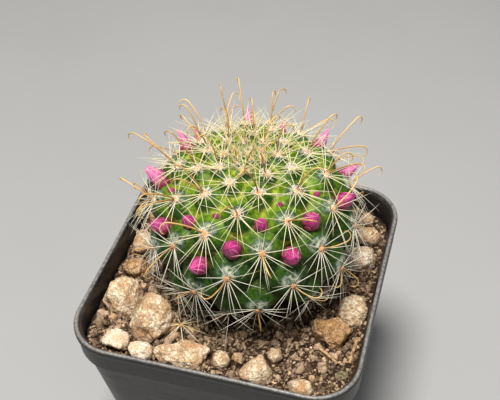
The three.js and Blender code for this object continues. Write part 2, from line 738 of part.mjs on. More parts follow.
const beds = [
  makeRootHole(),
  ...stones.map((stone) => makeStone(stone, GAP)),
  ...straws.map((straw) => makeStraw(straw, GAP)),
];
addPiece(cactusInPot, 'soil', makeSoil(beds.map(toSolid)), 'soil');
addPiece(cactusInPot, 'cactus', makeCactus(), 'cactus');
budPlaces.forEach((place) => addPiece(cactusInPot, `bud_${place.n}`, makeBud(place), 'bud'));
stones.forEach((stone) => {
  addPiece(cactusInPot, `stone_${stone.name}`, makeStone(stone), stone.kind ?? 'cream');
});
straws.forEach((straw) => addPiece(cactusInPot, straw.name, makeStraw(straw), 'straw'));

export default cactusInPot;
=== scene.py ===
# %% [markdown]
# # A round hook-spined cactus in a square nursery pot
#
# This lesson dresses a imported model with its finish. The model holds every piece at its real size: the pot,
# the soil, the plant, its flower buds, the stones and two straws. It loads first, as a fixed frame, and
# nothing here moves it. Each piece below is built in metres in that same frame and takes the place of the
# plain solid that it stands for.

import math

import bmesh
import bpy
import numpy as np
from mathutils import Matrix, Vector, noise


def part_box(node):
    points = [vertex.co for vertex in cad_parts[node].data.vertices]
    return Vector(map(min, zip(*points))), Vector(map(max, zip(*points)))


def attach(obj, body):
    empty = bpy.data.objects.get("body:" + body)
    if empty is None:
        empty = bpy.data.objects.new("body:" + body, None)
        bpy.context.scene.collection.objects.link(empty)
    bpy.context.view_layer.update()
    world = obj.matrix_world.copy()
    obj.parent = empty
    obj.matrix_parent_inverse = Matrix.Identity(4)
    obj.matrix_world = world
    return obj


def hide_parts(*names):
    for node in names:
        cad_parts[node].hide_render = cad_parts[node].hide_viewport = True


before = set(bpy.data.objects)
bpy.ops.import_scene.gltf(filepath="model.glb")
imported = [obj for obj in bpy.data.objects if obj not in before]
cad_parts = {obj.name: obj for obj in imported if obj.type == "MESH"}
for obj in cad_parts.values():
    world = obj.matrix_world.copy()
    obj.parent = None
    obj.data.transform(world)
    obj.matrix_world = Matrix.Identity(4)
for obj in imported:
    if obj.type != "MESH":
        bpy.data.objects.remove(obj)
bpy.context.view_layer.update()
BODY = "root"
MM = 0.001
print("nodes in the model:", len(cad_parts))

# %% [markdown]
# ## Helpers for meshes
#
# Most pieces are a row of rings joined by faces, or a copy of one of the model's solids. Two short helpers
# cover both. Nothing has to be placed by hand afterwards, because every mesh holds its own place and its
# object stays at the origin.

# %% Mesh helpers
def add_object(name, mesh):
    piece = bpy.data.objects.new(name, mesh)
    bpy.context.scene.collection.objects.link(piece)
    return piece


def add_piece(name, points, faces=(), edges=(), smooth=True, **attributes):
    """A mesh object from plain lists. Each attribute is one number, or one vector, for each point."""
    mesh = bpy.data.meshes.new(name)
    mesh.from_pydata([tuple(p) for p in points], list(edges), list(faces))
    if smooth and len(mesh.polygons):
        mesh.shade_smooth()
    for label, values in attributes.items():
        values = np.asarray(values, np.float32)
        vector = values.ndim == 2
        layer = mesh.attributes.new(label, "FLOAT_VECTOR" if vector else "FLOAT", "POINT")
        layer.data.foreach_set("vector" if vector else "value", values.ravel())
    mesh.update()
    return add_object(name, mesh)


def ring_faces(rings, sides):
    """Faces of a tube through a number of rings, each with the same number of sides."""
    faces = []
    for k in range(rings - 1):
        for i in range(sides):
            j = (i + 1) % sides
            faces.append((k * sides + i, k * sides + j, (k + 1) * sides + j, (k + 1) * sides + i))
    faces.append(tuple(reversed(range(sides))))
    faces.append(tuple(range((rings - 1) * sides, rings * sides)))
    return faces


def settle(piece, material, slot, *nodes):
    """The last steps of every piece: its material, its body and the solids it replaces. Its slot argument is
    not used.
    """
    if material is not None:
        piece.data.materials.clear()
        piece.data.materials.append(material)
    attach(piece, BODY)
    if nodes:
        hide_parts(*nodes)
    triangles = sum(len(face.vertices) - 2 for face in piece.data.polygons)
    print(f"{piece.name}: {triangles} triangles")
    return piece


# %% [markdown]
# ## Helpers for nodes
#
# Materials and Geometry Nodes are both trees of nodes, so one helper adds a node to either. A value that is
# itself a socket becomes a link, and any other value is written into the socket. That keeps each recipe
# below as short as the sentence that describes it.

# %% Node helpers
def feed(tree, socket, value):
    """Links a socket to a value that is itself a socket, and writes any other value into it."""
    if isinstance(value, bpy.types.NodeSocket):
        tree.links.new(value, socket)
    else:
        socket.default_value = value


def put(tree, kind, inputs=None, **settings):
    node = tree.nodes.new(kind)
    for label, value in settings.items():
        setattr(node, label, value)
    for key, value in (inputs or {}).items():
        feed(tree, node.inputs[key], value)
    return node


def calculate(tree, operation, a, b=0.0, c=0.0):
    return put(tree, "ShaderNodeMath", {0: a, 1: b, 2: c}, operation=operation).outputs[0]


def combine(tree, operation, a, b):
    """One vector from two, such as their sum or their cross product."""
    return put(tree, "ShaderNodeVectorMath", {0: a, 1: b}, operation=operation).outputs[0]


def scaled(tree, vector, factor):
    return put(tree, "ShaderNodeVectorMath", {0: vector, "Scale": factor}, operation="SCALE").outputs[0]


def from_srgb(red, green, blue):
    """A shader colour from the 0 to 255 values that a colour picker shows."""
    parts = [channel / 255 for channel in (red, green, blue)]
    linear = [p / 12.92 if p <= 0.04045 else ((p + 0.055) / 1.055) ** 2.4 for p in parts]
    return (*linear, 1.0)


class Finish:
    """A material whose patterns are measured in millimetres of the object's own coordinates."""

    def __init__(self, name):
        self.material = bpy.data.materials.new(name)
        self.material.use_nodes = True
        self.tree = self.material.node_tree
        self.shader = self.tree.nodes["Principled BSDF"]
        place = put(self.tree, "ShaderNodeTexCoord").outputs["Object"]
        self.place = scaled(self.tree, place, 1 / MM)

    def grain(self, size, detail=3.0, roughness=0.55, stretch=None):
        """Soft noise from 0 to 1 whose patches are about this many millimetres across."""
        where = combine(self.tree, "MULTIPLY", self.place, stretch) if stretch else self.place
        inputs = {"Vector": where, "Scale": 1 / size, "Detail": detail, "Roughness": roughness}
        return put(self.tree, "ShaderNodeTexNoise", inputs).outputs["Fac"]

    def cells(self, size):
        """Distance in a field of cells of about this many millimetres."""
        inputs = {"Vector": self.place, "Scale": 1 / size}
        return put(self.tree, "ShaderNodeTexVoronoi", inputs).outputs["Distance"]

    def level(self):
        """Height over the floor in millimetres."""
        return put(self.tree, "ShaderNodeSeparateXYZ", {0: self.place}).outputs["Z"]

    def attribute(self, name):
        return put(self.tree, "ShaderNodeAttribute", attribute_name=name).outputs["Fac"]

    def calculate(self, operation, *values):
        return calculate(self.tree, operation, *values)

    def times(self, a, b):
        return calculate(self.tree, "MULTIPLY", a, b)

    def spread(self, value, low, high, to_low=0.0, to_high=1.0):
        """A value from low to high, drawn out to another span with soft ends."""
        inputs = {"Value": value, "From Min": low, "From Max": high, "To Min": to_low, "To Max": to_high}
        return put(self.tree, "ShaderNodeMapRange", inputs, interpolation_type="SMOOTHSTEP").outputs[0]

    def blend(self, share, first, second):
        """The first colour with a share of the second over it. A plain colour is given from 0 to 255."""
        first, second = (from_srgb(*tone) if isinstance(tone, tuple) else tone for tone in (first, second))
        return put(self.tree, "ShaderNodeMix", {0: share, 6: first, 7: second}, data_type="RGBA").outputs[2]

    def bump(self, height, depth, below=None):
        """Fine relief: height from 0 to 1 stands for this many millimetres."""
        inputs = {"Height": height, "Strength": 1.0, "Distance": depth * MM}
        if below is not None:
            inputs["Normal"] = below
        return put(self.tree, "ShaderNodeBump", inputs).outputs["Normal"]

    def set(self, **sockets):
        for label, value in sockets.items():
            feed(self.tree, self.shader.inputs[label.replace("_", " ")], value)
        return self.material


# %% Geometry Nodes helpers
def new_growth(name, **sockets):
    """A Geometry Nodes tree with a geometry input, named inputs and a material."""
    tree = bpy.data.node_groups.new(name, "GeometryNodeTree")
    tree.interface.new_socket("Geometry", in_out="INPUT", socket_type="NodeSocketGeometry")
    for label, kind in sockets.items():
        tree.interface.new_socket(label, in_out="INPUT", socket_type="NodeSocket" + kind)
    tree.interface.new_socket("Material", in_out="INPUT", socket_type="NodeSocketMaterial")
    tree.interface.new_socket("Geometry", in_out="OUTPUT", socket_type="NodeSocketGeometry")
    return tree, tree.nodes.new("NodeGroupInput").outputs


FULL_TURN = 6.28


def random_number(tree, low, high, seed):
    return put(tree, "FunctionNodeRandomValue", {2: low, 3: high, "Seed": seed}, data_type="FLOAT").outputs[1]


def random_vector(tree, low, high, seed):
    return put(tree, "FunctionNodeRandomValue", {0: low, 1: high, "Seed": seed},
               data_type="FLOAT_VECTOR").outputs[0]


def named(tree, name, kind="FLOAT"):
    """What the piece holds under a name at each of its points."""
    return put(tree, "GeometryNodeInputNamedAttribute", {"Name": name}, data_type=kind).outputs[0]


def keep(tree, geometry, name, value):
    """The geometry with a number kept under a name at each of its points."""
    inputs = {"Geometry": geometry, "Name": name, "Value": value}
    return put(tree, "GeometryNodeStoreNamedAttribute", inputs, data_type="FLOAT", domain="POINT").outputs[0]


def moved(tree, geometry, offset):
    return put(tree, "GeometryNodeSetPosition", {"Geometry": geometry, "Offset": offset}).outputs[0]


def copies(tree, points, shape, turn, scale):
    """A copy of the shape at every point."""
    inputs = {"Points": points, "Instance": shape, "Rotation": turn, "Scale": scale}
    return put(tree, "GeometryNodeInstanceOnPoints", inputs).outputs[0]


def rumpled(tree, geometry, fineness, detail, depth):
    """Copies made real, and pushed out of shape by a noise field, which differs from place to place."""
    real = put(tree, "GeometryNodeRealizeInstances", {"Geometry": geometry}).outputs[0]
    field = put(tree, "ShaderNodeTexNoise", {"Scale": fineness, "Detail": detail}).outputs["Color"]
    return moved(tree, real, scaled(tree, combine(tree, "SUBTRACT", field, (0.5, 0.5, 0.5)), depth))


def close_growth(tree, geometry, material):
    """The end of every tree: smooth faces, real geometry in place of instances, and the material."""
    smooth = put(tree, "GeometryNodeSetShadeSmooth", {"Geometry": geometry}).outputs[0]
    real = put(tree, "GeometryNodeRealizeInstances", {"Geometry": smooth}).outputs[0]
    dressed = put(tree, "GeometryNodeSetMaterial", {"Geometry": real, "Material": material}).outputs[0]
    tree.links.new(dressed, tree.nodes.new("NodeGroupOutput").inputs[0])


def grow(piece, tree, **values):
    """Runs a tree on a piece and keeps the result as the piece's plain mesh."""
    modifier = piece.modifiers.new(tree.name, "NODES")
    modifier.node_group = tree
    for item in tree.interface.items_tree:
        if item.in_out == "INPUT" and item.name in values:
            modifier[item.identifier] = values[item.name]
    return bake_modifiers(piece)


def bake_modifiers(piece):
    """Turns a piece with its modifiers into a plain mesh, and takes the modifiers off."""
    graph = bpy.context.evaluated_depsgraph_get()
    mesh = bpy.data.meshes.new_from_object(piece.evaluated_get(graph), depsgraph=graph)
    piece.modifiers.clear()
    piece.data = mesh
    return piece


# %% [markdown]
# ## Camera
#
# The camera stands where the photograph was taken from: turned 18 degrees to the right of the pot's front,
# about 44 degrees above it and 185 mm from the point that it looks at, with a slight roll. The lens is a
# short telephoto, so the pot's sides close in only a little towards the back.

# %% Camera
CAMERA_AZIMUTH = math.radians(18.0)
CAMERA_HEIGHT = math.radians(44.15)
CAMERA_ROLL = math.radians(-2.83)
CAMERA_DISTANCE = 185.2 * MM
CAMERA_AIM = Vector((-3.6, 17.25, 50.0)) * MM
CAMERA_LENS = 62.75
SENSOR_WIDTH = 36.0


def make_camera():
    right = Vector((math.cos(CAMERA_AZIMUTH), math.sin(CAMERA_AZIMUTH), 0))
    front = Vector((math.sin(CAMERA_AZIMUTH), -math.cos(CAMERA_AZIMUTH), 0))
    back = front * math.cos(CAMERA_HEIGHT) + Vector((0, 0, math.sin(CAMERA_HEIGHT)))
    up = back.cross(right)
    turned_right = right * math.cos(CAMERA_ROLL) + up * math.sin(CAMERA_ROLL)
    turned_up = up * math.cos(CAMERA_ROLL) - right * math.sin(CAMERA_ROLL)
    lens = bpy.data.cameras.new("camera")
    lens.lens = CAMERA_LENS
    lens.sensor_width = SENSOR_WIDTH
    lens.clip_start = 5 * MM
    camera = bpy.data.objects.new("camera", lens)
    turn = Matrix((turned_right, turned_up, back)).transposed().to_4x4()
    camera.matrix_world = Matrix.Translation(CAMERA_AIM + back * CAMERA_DISTANCE) @ turn
    bpy.context.scene.collection.objects.link(camera)
    bpy.context.scene.camera = camera
    return camera


camera = make_camera()
print("camera stands at", [round(value / MM) for value in camera.location], "mm")

# %% [markdown]
# ## Floor and light
#
# A plain pale floor carries the pot. A strong lamp hangs almost over it. It gives the spines and stones
# their highlights and leaves the soil's gaps and the tubercles' undersides dark. A weak lamp fills the
# right side, and the world gives a dim even sky.

# %% Floor and light
FLOOR_HALF = 1.5
PLANT_MIDDLE = Vector((0.0, 0.0, 55 * MM))
SKY_STRENGTH = 0.16
LAMPS = {
    "key_lamp": {"place": (-0.02, -0.07, 0.54), "size": 0.17, "power": 4.4, "colour": (1.0, 0.97, 0.93)},
    "fill_lamp": {"place": (0.36, -0.30, 0.34), "size": 0.30, "power": 0.42, "colour": (0.98, 0.98, 0.98)},
}


def make_floor():
    corners = [(x * FLOOR_HALF, y * FLOOR_HALF, 0) for x, y in ((-1, -1), (1, -1), (1, 1), (-1, 1))]
    floor = add_piece("floor", corners, [(0, 1, 2, 3)])
    finish = Finish("floor_paper")
    tone = finish.blend(finish.grain(60), (158, 158, 158), (166, 166, 165))
    floor.data.materials.append(finish.set(Base_Color=tone, Roughness=0.9))


def make_lamp(name, place, size, power, colour):
    light = bpy.data.lights.new(name, "AREA")
    light.shape = "DISK"
    light.size = size
    light.energy = power
    light.color = colour
    lamp = bpy.data.objects.new(name, light)
    lamp.location = place
    lamp.rotation_euler = (Vector(place) - PLANT_MIDDLE).to_track_quat("Z", "Y").to_euler()
    bpy.context.scene.collection.objects.link(lamp)


def make_sky():
    world = bpy.data.worlds.new("pale_sky")
    world.use_nodes = True
    sky = world.node_tree.nodes["Background"]
    sky.inputs["Color"].default_value = (0.93, 0.96, 1.0, 1.0)
    sky.inputs["Strength"].default_value = SKY_STRENGTH
    bpy.context.scene.world = world


make_floor()
for name, lamp in LAMPS.items():
    make_lamp(name, **lamp)
make_sky()
bpy.context.scene.view_settings.view_transform = "Standard"

# %% [markdown]
# ## Pot
#
# The pot is one thin moulding of black plastic: a rim with a fine bead under it, a straight collar, a small
# step and a tapered body, with four drain holes in its floor. Each level of it is a square with round
# corners, so the whole pot is one row of such rings, up the outside and down the inside. Every edge is a
# small arc of rings, which catches the light as a moulded edge does.

# %% Pot sizes
POT_SIDE = 55.0 * MM
POT_HEIGHT = 50.0 * MM
POT_WALL = 1.0 * MM
POT_FLOOR = 1.4 * MM
BASE_SIDE = 42.0 * MM
RIM_CORNER = 8.8 * MM
BODY_CORNER = 7.6 * MM
BASE_CORNER = 6.0 * MM
COLLAR_DEPTH = 6.4 * MM
COLLAR_STEP = 0.9 * MM
BEAD_DEPTH = 1.7 * MM
BEAD_PROUD = 0.3 * MM
DRAIN_RADIUS = 2.6 * MM
DRAIN_OFFSET = 12.5 * MM
LIP_FALL = 0.45 * MM
LIP_SLOPE = 0.3 * MM
LIP_WIDTH = 0.4 * MM
LEDGE = POT_HEIGHT - COLLAR_DEPTH
FOLD = LEDGE - 1 * MM
EDGE_BEVEL = 0.6 * MM
EDGE_ROUND = 0.28 * MM
FLOOR_MIDDLE = (2 * MM, 1 * MM)
WALL_BOW = 0.12 * MM
SHARP_EDGE = math.radians(40)
GAP = 0.3 * MM


def square_ring(half, corner, height, corner_steps=12, side_steps=10):
    """Outline of a square with round corners, anticlockwise from above."""
    flat = half - corner
    quarter = [(flat + corner * math.cos(a), flat + corner * math.sin(a))
               for a in np.linspace(0, math.pi / 2, corner_steps + 1)]
    quarter += [(flat - 2 * flat * i / side_steps, half) for i in range(1, side_steps)]
    ring = []
    for turn in range(4):
        c, s = round(math.cos(turn * math.pi / 2)), round(math.sin(turn * math.pi / 2))
        ring += [(x * c - y * s, x * s + y * c, height) for x, y in quarter]
    return ring


def pot_outside(height):
    """Half width and corner radius of the body, under the collar."""
    share = height / LEDGE
    top = POT_SIDE / 2 - BEAD_PROUD - COLLAR_STEP
    return BASE_SIDE / 2 + (top - BASE_SIDE / 2) * share, BASE_CORNER + (BODY_CORNER - BASE_CORNER) * share


def pot_inside(height):
    """Half width and corner radius of the inside, which folds outwards just under the collar."""
    half, corner = pot_outside(min(height, FOLD))
    half, corner = half - POT_WALL, corner - POT_WALL
    share = min(1.0, max(0.0, (height - FOLD) / MM))
    wide = POT_SIDE / 2 - BEAD_PROUD - POT_WALL
    return half + (wide - half) * share, corner + (RIM_CORNER - POT_WALL - corner) * share


# %% Pot form
def rounded(corners, radius, steps=4):
    """A (half, corner, height) profile with every inner corner replaced by a small curve."""
    soft = [corners[0]]
    for before, here, after in zip(corners, corners[1:], corners[2:]):
        before, here, after = (np.array(p) for p in (before, here, after))
        reach_in = min(radius, 0.45 * np.linalg.norm(before - here))
        reach_out = min(radius, 0.45 * np.linalg.norm(after - here))
        start = here + (before - here) / np.linalg.norm(before - here) * reach_in
        end = here + (after - here) / np.linalg.norm(after - here) * reach_out
        for t in np.linspace(0, 1, steps + 1):
            soft.append(tuple((1 - t) ** 2 * start + 2 * t * (1 - t) * here + t ** 2 * end))
    soft.append(corners[-1])
    return soft


def pot_profile():
    """The pot's levels as (half, corner, height), from the floor's middle up the outside and in again."""
    rim = POT_SIDE / 2
    collar = rim - BEAD_PROUD
    inner_heights = (POT_HEIGHT - 2 * LIP_FALL, LEDGE, FOLD, 20 * MM, POT_FLOOR)
    return rounded([
        (*FLOOR_MIDDLE, 0.0),
        (BASE_SIDE / 2 - EDGE_BEVEL, BASE_CORNER - EDGE_BEVEL, 0.0),
        *[(*pot_outside(z), z) for z in np.linspace(EDGE_BEVEL, LEDGE, 6)],
        (collar, RIM_CORNER, LEDGE + EDGE_BEVEL),
        (collar, RIM_CORNER, POT_HEIGHT - BEAD_DEPTH),
        (rim, RIM_CORNER, POT_HEIGHT - BEAD_DEPTH + BEAD_PROUD),
        (rim, RIM_CORNER, POT_HEIGHT - LIP_FALL),
        (rim - LIP_SLOPE, RIM_CORNER - LIP_SLOPE, POT_HEIGHT),
        (rim - LIP_SLOPE - LIP_WIDTH, RIM_CORNER - LIP_SLOPE - LIP_WIDTH, POT_HEIGHT),
        *[(*pot_inside(z), z) for z in inner_heights],
        (*FLOOR_MIDDLE, POT_FLOOR),
    ], EDGE_ROUND)


def make_pot():
    """The pot's rings with its walls bowed a little, as thin moulded walls are, and the drain holes cut."""
    points = np.array([square_ring(half, corner, z) for half, corner, z in pot_profile()])
    rings, sides = points.shape[:2]
    sway = np.sin(points[..., 0] / MM * 0.11 + 1.0) * np.cos(points[..., 1] / MM * 0.09)
    bow = WALL_BOW * sway * (points[..., 2] / POT_HEIGHT) ** 2
    points[..., :2] *= (1 + bow / (POT_SIDE / 2))[..., None]
    pot = add_piece("pot_shell", points.reshape(-1, 3), ring_faces(rings, sides))
    drill = add_piece("drain_drill", *drain_holes(), smooth=False)
    cut = pot.modifiers.new("drain", "BOOLEAN")
    cut.object = drill
    cut.operation = "DIFFERENCE"
    cut.solver = "EXACT"
    bake_modifiers(pot)
    bpy.data.objects.remove(drill)
    pot.data.shade_smooth()
    pot.data.set_sharp_from_angle(angle=SHARP_EDGE)
    return pot


def drain_holes(sides=24):
    points, faces = [], []
    for sx, sy in ((1, 1), (-1, 1), (-1, -1), (1, -1)):
        start = len(points)
        for z in (-1 * MM, 3 * POT_FLOOR):
            for i in range(sides):
                angle = 2 * math.pi * i / sides
                points.append((sx * DRAIN_OFFSET + DRAIN_RADIUS * math.cos(angle),
                               sy * DRAIN_OFFSET + DRAIN_RADIUS * math.sin(angle), z))
        faces += [tuple(start + index for index in face) for face in ring_faces(2, sides)]
    return points, faces


pot = make_pot()

# %% [markdown]
# The plastic is almost black, dull from handling and a little dusty. Dust and dried soil gather in thin
# level streaks on the collar and along the bottom of the inside wall. The rim's top edge is painted a
# lighter grey: partly wear and partly a painted highlight where the edge catches the light.
# The colour and the gloss take the same streaks, so that a dusty place is also a duller one.

# %% Pot plastic
def pot_plastic():
    finish = Finish("black_plastic")
    streak = finish.grain(5.0, 6.0, 0.7, stretch=(0.35, 0.35, 3.0))
    speck = finish.spread(finish.grain(0.8, 2.0), 0.62, 0.76)
    cloud = finish.spread(finish.grain(9.0, 3.0), 0.35, 0.75)
    dust = finish.times(finish.spread(streak, 0.44, 0.74), cloud)
    dust = finish.calculate("MAXIMUM", dust, finish.times(speck, 0.5))
    mottle = finish.spread(finish.grain(1.4, 5.0, 0.75), 0.3, 0.7)
    bare = finish.blend(mottle, (12, 12, 14), (32, 32, 34))
    # The rim's top edge is painted lighter grey: partly wear and partly a painted highlight.
    edge = finish.spread(finish.level(), POT_HEIGHT / MM - 0.4, POT_HEIGHT / MM - 0.02)
    worn = finish.times(edge, finish.spread(finish.grain(0.6, 5.0, 0.75), 0.3, 0.7, 0.2, 0.75))
    colour = finish.blend(finish.times(dust, 0.36), bare, (132, 127, 121))
    colour = finish.blend(worn, colour, (158, 155, 150))
    gloss = finish.calculate("MULTIPLY_ADD", dust, 0.35, finish.calculate("MULTIPLY_ADD", streak, 0.16, 0.32))
    relief = finish.bump(finish.grain(0.35, 2.0), 0.02)
    relief = finish.bump(finish.grain(6.0, 1.0, stretch=(0.5, 0.5, 1.2)), 0.08, relief)
    return finish.set(Base_Color=colour, Roughness=gloss, Normal=relief, Specular_IOR_Level=0.5)


settle(pot, pot_plastic(), "pot_plastic", "pot")

# %% [markdown]
# ## Soil
#
# The soil is a dark, crumbly, coir-like mix, a little higher at the front. Three layers make it: one closed
# body with a lumpy top, loose crumbs scattered over that top, and pale grit and fine root hairs on the
# crumbs. The body is coloured darker than the crumbs, as painted shade in the gaps between them. The
# crumbs repeat by the thousand, so Geometry Nodes scatter plain balls of few faces, and one
# noise field, which differs from place to place, then pushes every ball into a shape of its own.

# %% Soil height and the stones' places
SOIL_DEPTH = 5.0 * MM
SOIL_RISE = 0.8 * MM
SOIL_LUMP = 0.35 * MM
STONES = sorted(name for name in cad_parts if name.startswith("stone_"))


def soil_height(x, y):
    """Height of the soil at a place, where x and y are arrays in metres."""
    u, v = x / MM, y / MM
    level = POT_HEIGHT - SOIL_DEPTH - SOIL_RISE * (y / POT_SIDE)
    lumps = np.sin(1.1 * u + 0.7) * np.cos(0.9 * v) + 0.7 * np.sin(1.7 * v - 2.3 * u + 1.3)
    return level + SOIL_LUMP * lumps


def stone_boxes():
    """Middles and half sizes of all stones, one row for each."""
    boxes = np.array([[list(corner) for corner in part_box(name)] for name in STONES])
    return boxes.mean(axis=1), (boxes[:, 1] - boxes[:, 0]) / 2


stone_middles, stone_halves = stone_boxes()

# %% Soil body
FOOT_PLACE = (1.3 * MM, 2.8 * MM)
STEM_FOOT = 13.0 * MM
STONE_FOOT = 0.7
SOIL_RINGS = 84
SOIL_INNER_RING = 0.16
CRUMBLE = ((0.4, 0.7), (0.95, 0.55), (2.4, 0.3))
CRUMBLE_LEVEL = 0.25


def free_room(points):
    """How far each point of the soil lies from the pot's wall, the plant's foot and the nearest stone."""
    half, corner = pot_inside(LEDGE)
    past = np.maximum(np.abs(points[:, :2]) - (half - corner), 0)
    room = corner - np.hypot(past[:, 0], past[:, 1])
    foot = np.hypot(points[:, 0] - FOOT_PLACE[0], points[:, 1] - FOOT_PLACE[1]) - STEM_FOOT
    room = np.minimum(room, foot)
    for middle, size in zip(stone_middles, stone_halves):
        away = (points[:, :2] - middle[:2]) / size[:2]
        room = np.minimum(room, (np.hypot(away[:, 0], away[:, 1]) - STONE_FOOT) * size[:2].min())
    return room


def crumble(place):
    """Lumps in millimetres at a place: three sizes of noise, each finer and lower than the one before."""
    spot = Vector(place) / MM
    return sum(noise.noise(spot * fineness) * height for fineness, height in CRUMBLE) - CRUMBLE_LEVEL


def make_soil():
    """Three rings up the wall, and then ever smaller ones that follow the soil's height to its middle."""
    wall = [square_ring(pot_inside(z)[0] - GAP, pot_inside(z)[1] - GAP, z, 20, 70)
            for z in (POT_FLOOR + GAP, FOLD, LEDGE)]
    rings = [np.array(ring) for ring in wall]
    edge = rings[-1]
    for shrink in np.linspace(1.0, SOIL_INNER_RING, SOIL_RINGS):
        ring = edge * (shrink, shrink, 1)
        ring[:, 2] = soil_height(ring[:, 0], ring[:, 1])
        for p in ring:
            p[2] += crumble(p) * MM
        rings.append(ring)
    points = np.concatenate(rings)
    room = np.where(np.arange(len(points)) < len(wall) * len(edge), -1.0, free_room(points))
    return add_piece("soil_body", points, ring_faces(len(rings), len(edge)), room=room, tint=0.3 + 0 * room)


soil = make_soil()

# %% Crumbs and grit by Geometry Nodes
def crumb_growth():
    """Lumps scattered over a surface: balls of few faces, each rumpled by its own patch of noise."""
    tree, given = new_growth("crumbs", Density="Float", Smallest="Float", Largest="Float", Roughness="Float",
                             Fineness="Int", Seed="Int")
    half = calculate(tree, "MULTIPLY", given["Largest"], 0.5)
    fits = calculate(tree, "GREATER_THAN", named(tree, "room"), half)
    density = calculate(tree, "MULTIPLY", given["Density"], fits)
    points = put(tree, "GeometryNodeDistributePointsOnFaces",
                 {"Mesh": given["Geometry"], "Density": density, "Seed": given["Seed"]}).outputs["Points"]
    points = keep(tree, points, "tint", random_number(tree, 0.0, 1.0, 21))
    ball = put(tree, "GeometryNodeMeshIcoSphere",
               {"Radius": 0.5, "Subdivisions": given["Fineness"]}).outputs[0]
    turn = random_vector(tree, (0, 0, 0), (FULL_TURN, FULL_TURN, FULL_TURN), 1)
    size = calculate(tree, "POWER", random_number(tree, 0.0, 1.0, 7), 2.2)
    size = put(tree, "ShaderNodeMapRange",
               {"Value": size, "To Min": given["Smallest"], "To Max": given["Largest"]}).outputs[0]
    shape = random_vector(tree, (0.6, 0.5, 0.4), (1.6, 1.05, 0.8), 3)
    placed = copies(tree, points, ball, turn, scaled(tree, shape, size))
    close_growth(tree, rumpled(tree, placed, 1100.0, 1.0, given["Roughness"]), given["Material"])
    return tree


crumbs_tree = crumb_growth()


def scatter(name, material, **sizes):
    return grow(add_object(name, soil.data.copy()), crumbs_tree, Material=material, **sizes)


# %% Soil materials
def soil_brown(name, dark, light, deep):
    """Crumbs from dark to light, each by its own tint, with deep brown patches."""
    finish = Finish(name)
    blotch = finish.times(finish.grain(0.5, 4.0, 0.7), 0.6)
    shade = finish.calculate("MULTIPLY_ADD", finish.attribute("tint"), 0.55, blotch)
    tone = finish.blend(finish.spread(shade, 0.2, 0.95), dark, light)
    tone = finish.blend(finish.spread(finish.grain(0.4, 3.0), 0.54, 0.66, 0.0, 0.7), tone, deep)
    relief = finish.bump(finish.grain(0.25, 4.0, 0.75), 0.2)
    return finish.set(Base_Color=tone, Roughness=0.95, Normal=relief, Specular_IOR_Level=0.12)


def grit_cream():
    finish = Finish("cream_grit")
    tone = finish.blend(finish.attribute("tint"), (178, 142, 106), (226, 200, 164))
    tone = finish.blend(finish.spread(finish.grain(0.5, 3.0), 0.5, 0.65), tone, (140, 104, 74))
    return finish.set(Base_Color=tone, Roughness=0.85, Normal=finish.bump(finish.grain(0.3), 0.08))


# %% Soil in place
# The soil body is coloured darker than the crumbs, as painted shade in the gaps between them.
gap_shade_soil = soil_brown("gap_shade_soil", (38, 28, 20), (90, 67, 49), (28, 20, 14))
dry_crumbs = soil_brown("dry_crumbs", (82, 63, 47), (198, 170, 140), (48, 35, 25))
crumbs = scatter("soil_crumbs", dry_crumbs, Density=3.6e6, Smallest=0.3 * MM, Largest=1.3 * MM,
                 Roughness=0.7 * MM, Fineness=1, Seed=11)
clods = scatter("soil_clods", dry_crumbs, Density=0.22e6, Smallest=1.2 * MM, Largest=2.7 * MM,
                Roughness=1.5 * MM, Fineness=2, Seed=5)
grit = scatter("soil_grit", grit_cream(), Density=0.045e6, Smallest=0.6 * MM, Largest=2.0 * MM,
               Roughness=0.8 * MM, Fineness=2, Seed=29)
settle(soil, gap_shade_soil, "soil", "soil")
settle(crumbs, None, "soil")
settle(clods, None, "soil")
settle(grit, None, "cream_stone")

# %% [markdown]
# ## Stones
#
# The top dressing is broken pumice and limestone: chalky lumps with broken faces, pits and a sandy grain.
# The model already holds each lump's own form, so each fine stone starts as a copy of its solid. Geometry
# Nodes wear the copy's edges a little and then push it in and out four times: by broad dents, by scallops
# where flakes broke off, by knobs and by grain.

# %% Stone form by Geometry Nodes
STONE_FIELDS = {
    "Dent": ("ShaderNodeTexNoise", {"Scale": 240.0, "Detail": 2.0, "Roughness": 0.55}, "Fac"),
    "Scallop": ("ShaderNodeTexVoronoi", {"Scale": 290.0, "Randomness": 1.0}, "Distance"),
    "Knob": ("ShaderNodeTexNoise", {"Scale": 1000.0, "Detail": 2.0, "Roughness": 0.6}, "Fac"),
    "Grain": ("ShaderNodeTexNoise", {"Scale": 2900.0, "Detail": 3.0, "Roughness": 0.75}, "Fac"),
}


def stone_growth():
    depths = dict.fromkeys(STONE_FIELDS, "Float")
    tree, given = new_growth("weathered_stone", Detail="Int", Wear="Int", **depths)
    body = put(tree, "GeometryNodeSubdivideMesh",
               {"Mesh": given["Geometry"], "Level": given["Detail"]}).outputs[0]
    place = put(tree, "GeometryNodeInputPosition").outputs[0]
    worn = put(tree, "GeometryNodeBlurAttribute", {0: place}, data_type="FLOAT_VECTOR")
    for socket in worn.inputs:
        if socket.enabled and socket.type == "VECTOR":
            tree.links.new(place, socket)
    tree.links.new(given["Wear"], worn.inputs["Iterations"])
    worn_place = [socket for socket in worn.outputs if socket.enabled][0]
    body = put(tree, "GeometryNodeSetPosition", {"Geometry": body, "Position": worn_place}).outputs[0]
    facing = put(tree, "GeometryNodeInputNormal").outputs[0]
    for depth, (kind, inputs, output) in STONE_FIELDS.items():
        height = calculate(tree, "SUBTRACT", put(tree, kind, inputs).outputs[output], 0.5)
        body = moved(tree, body, scaled(tree, facing, calculate(tree, "MULTIPLY", height, given[depth])))
    close_growth(tree, body, given["Material"])
    return tree


stone_tree = stone_growth()

# %% Stone materials
SOIL_LEVEL = 44.8


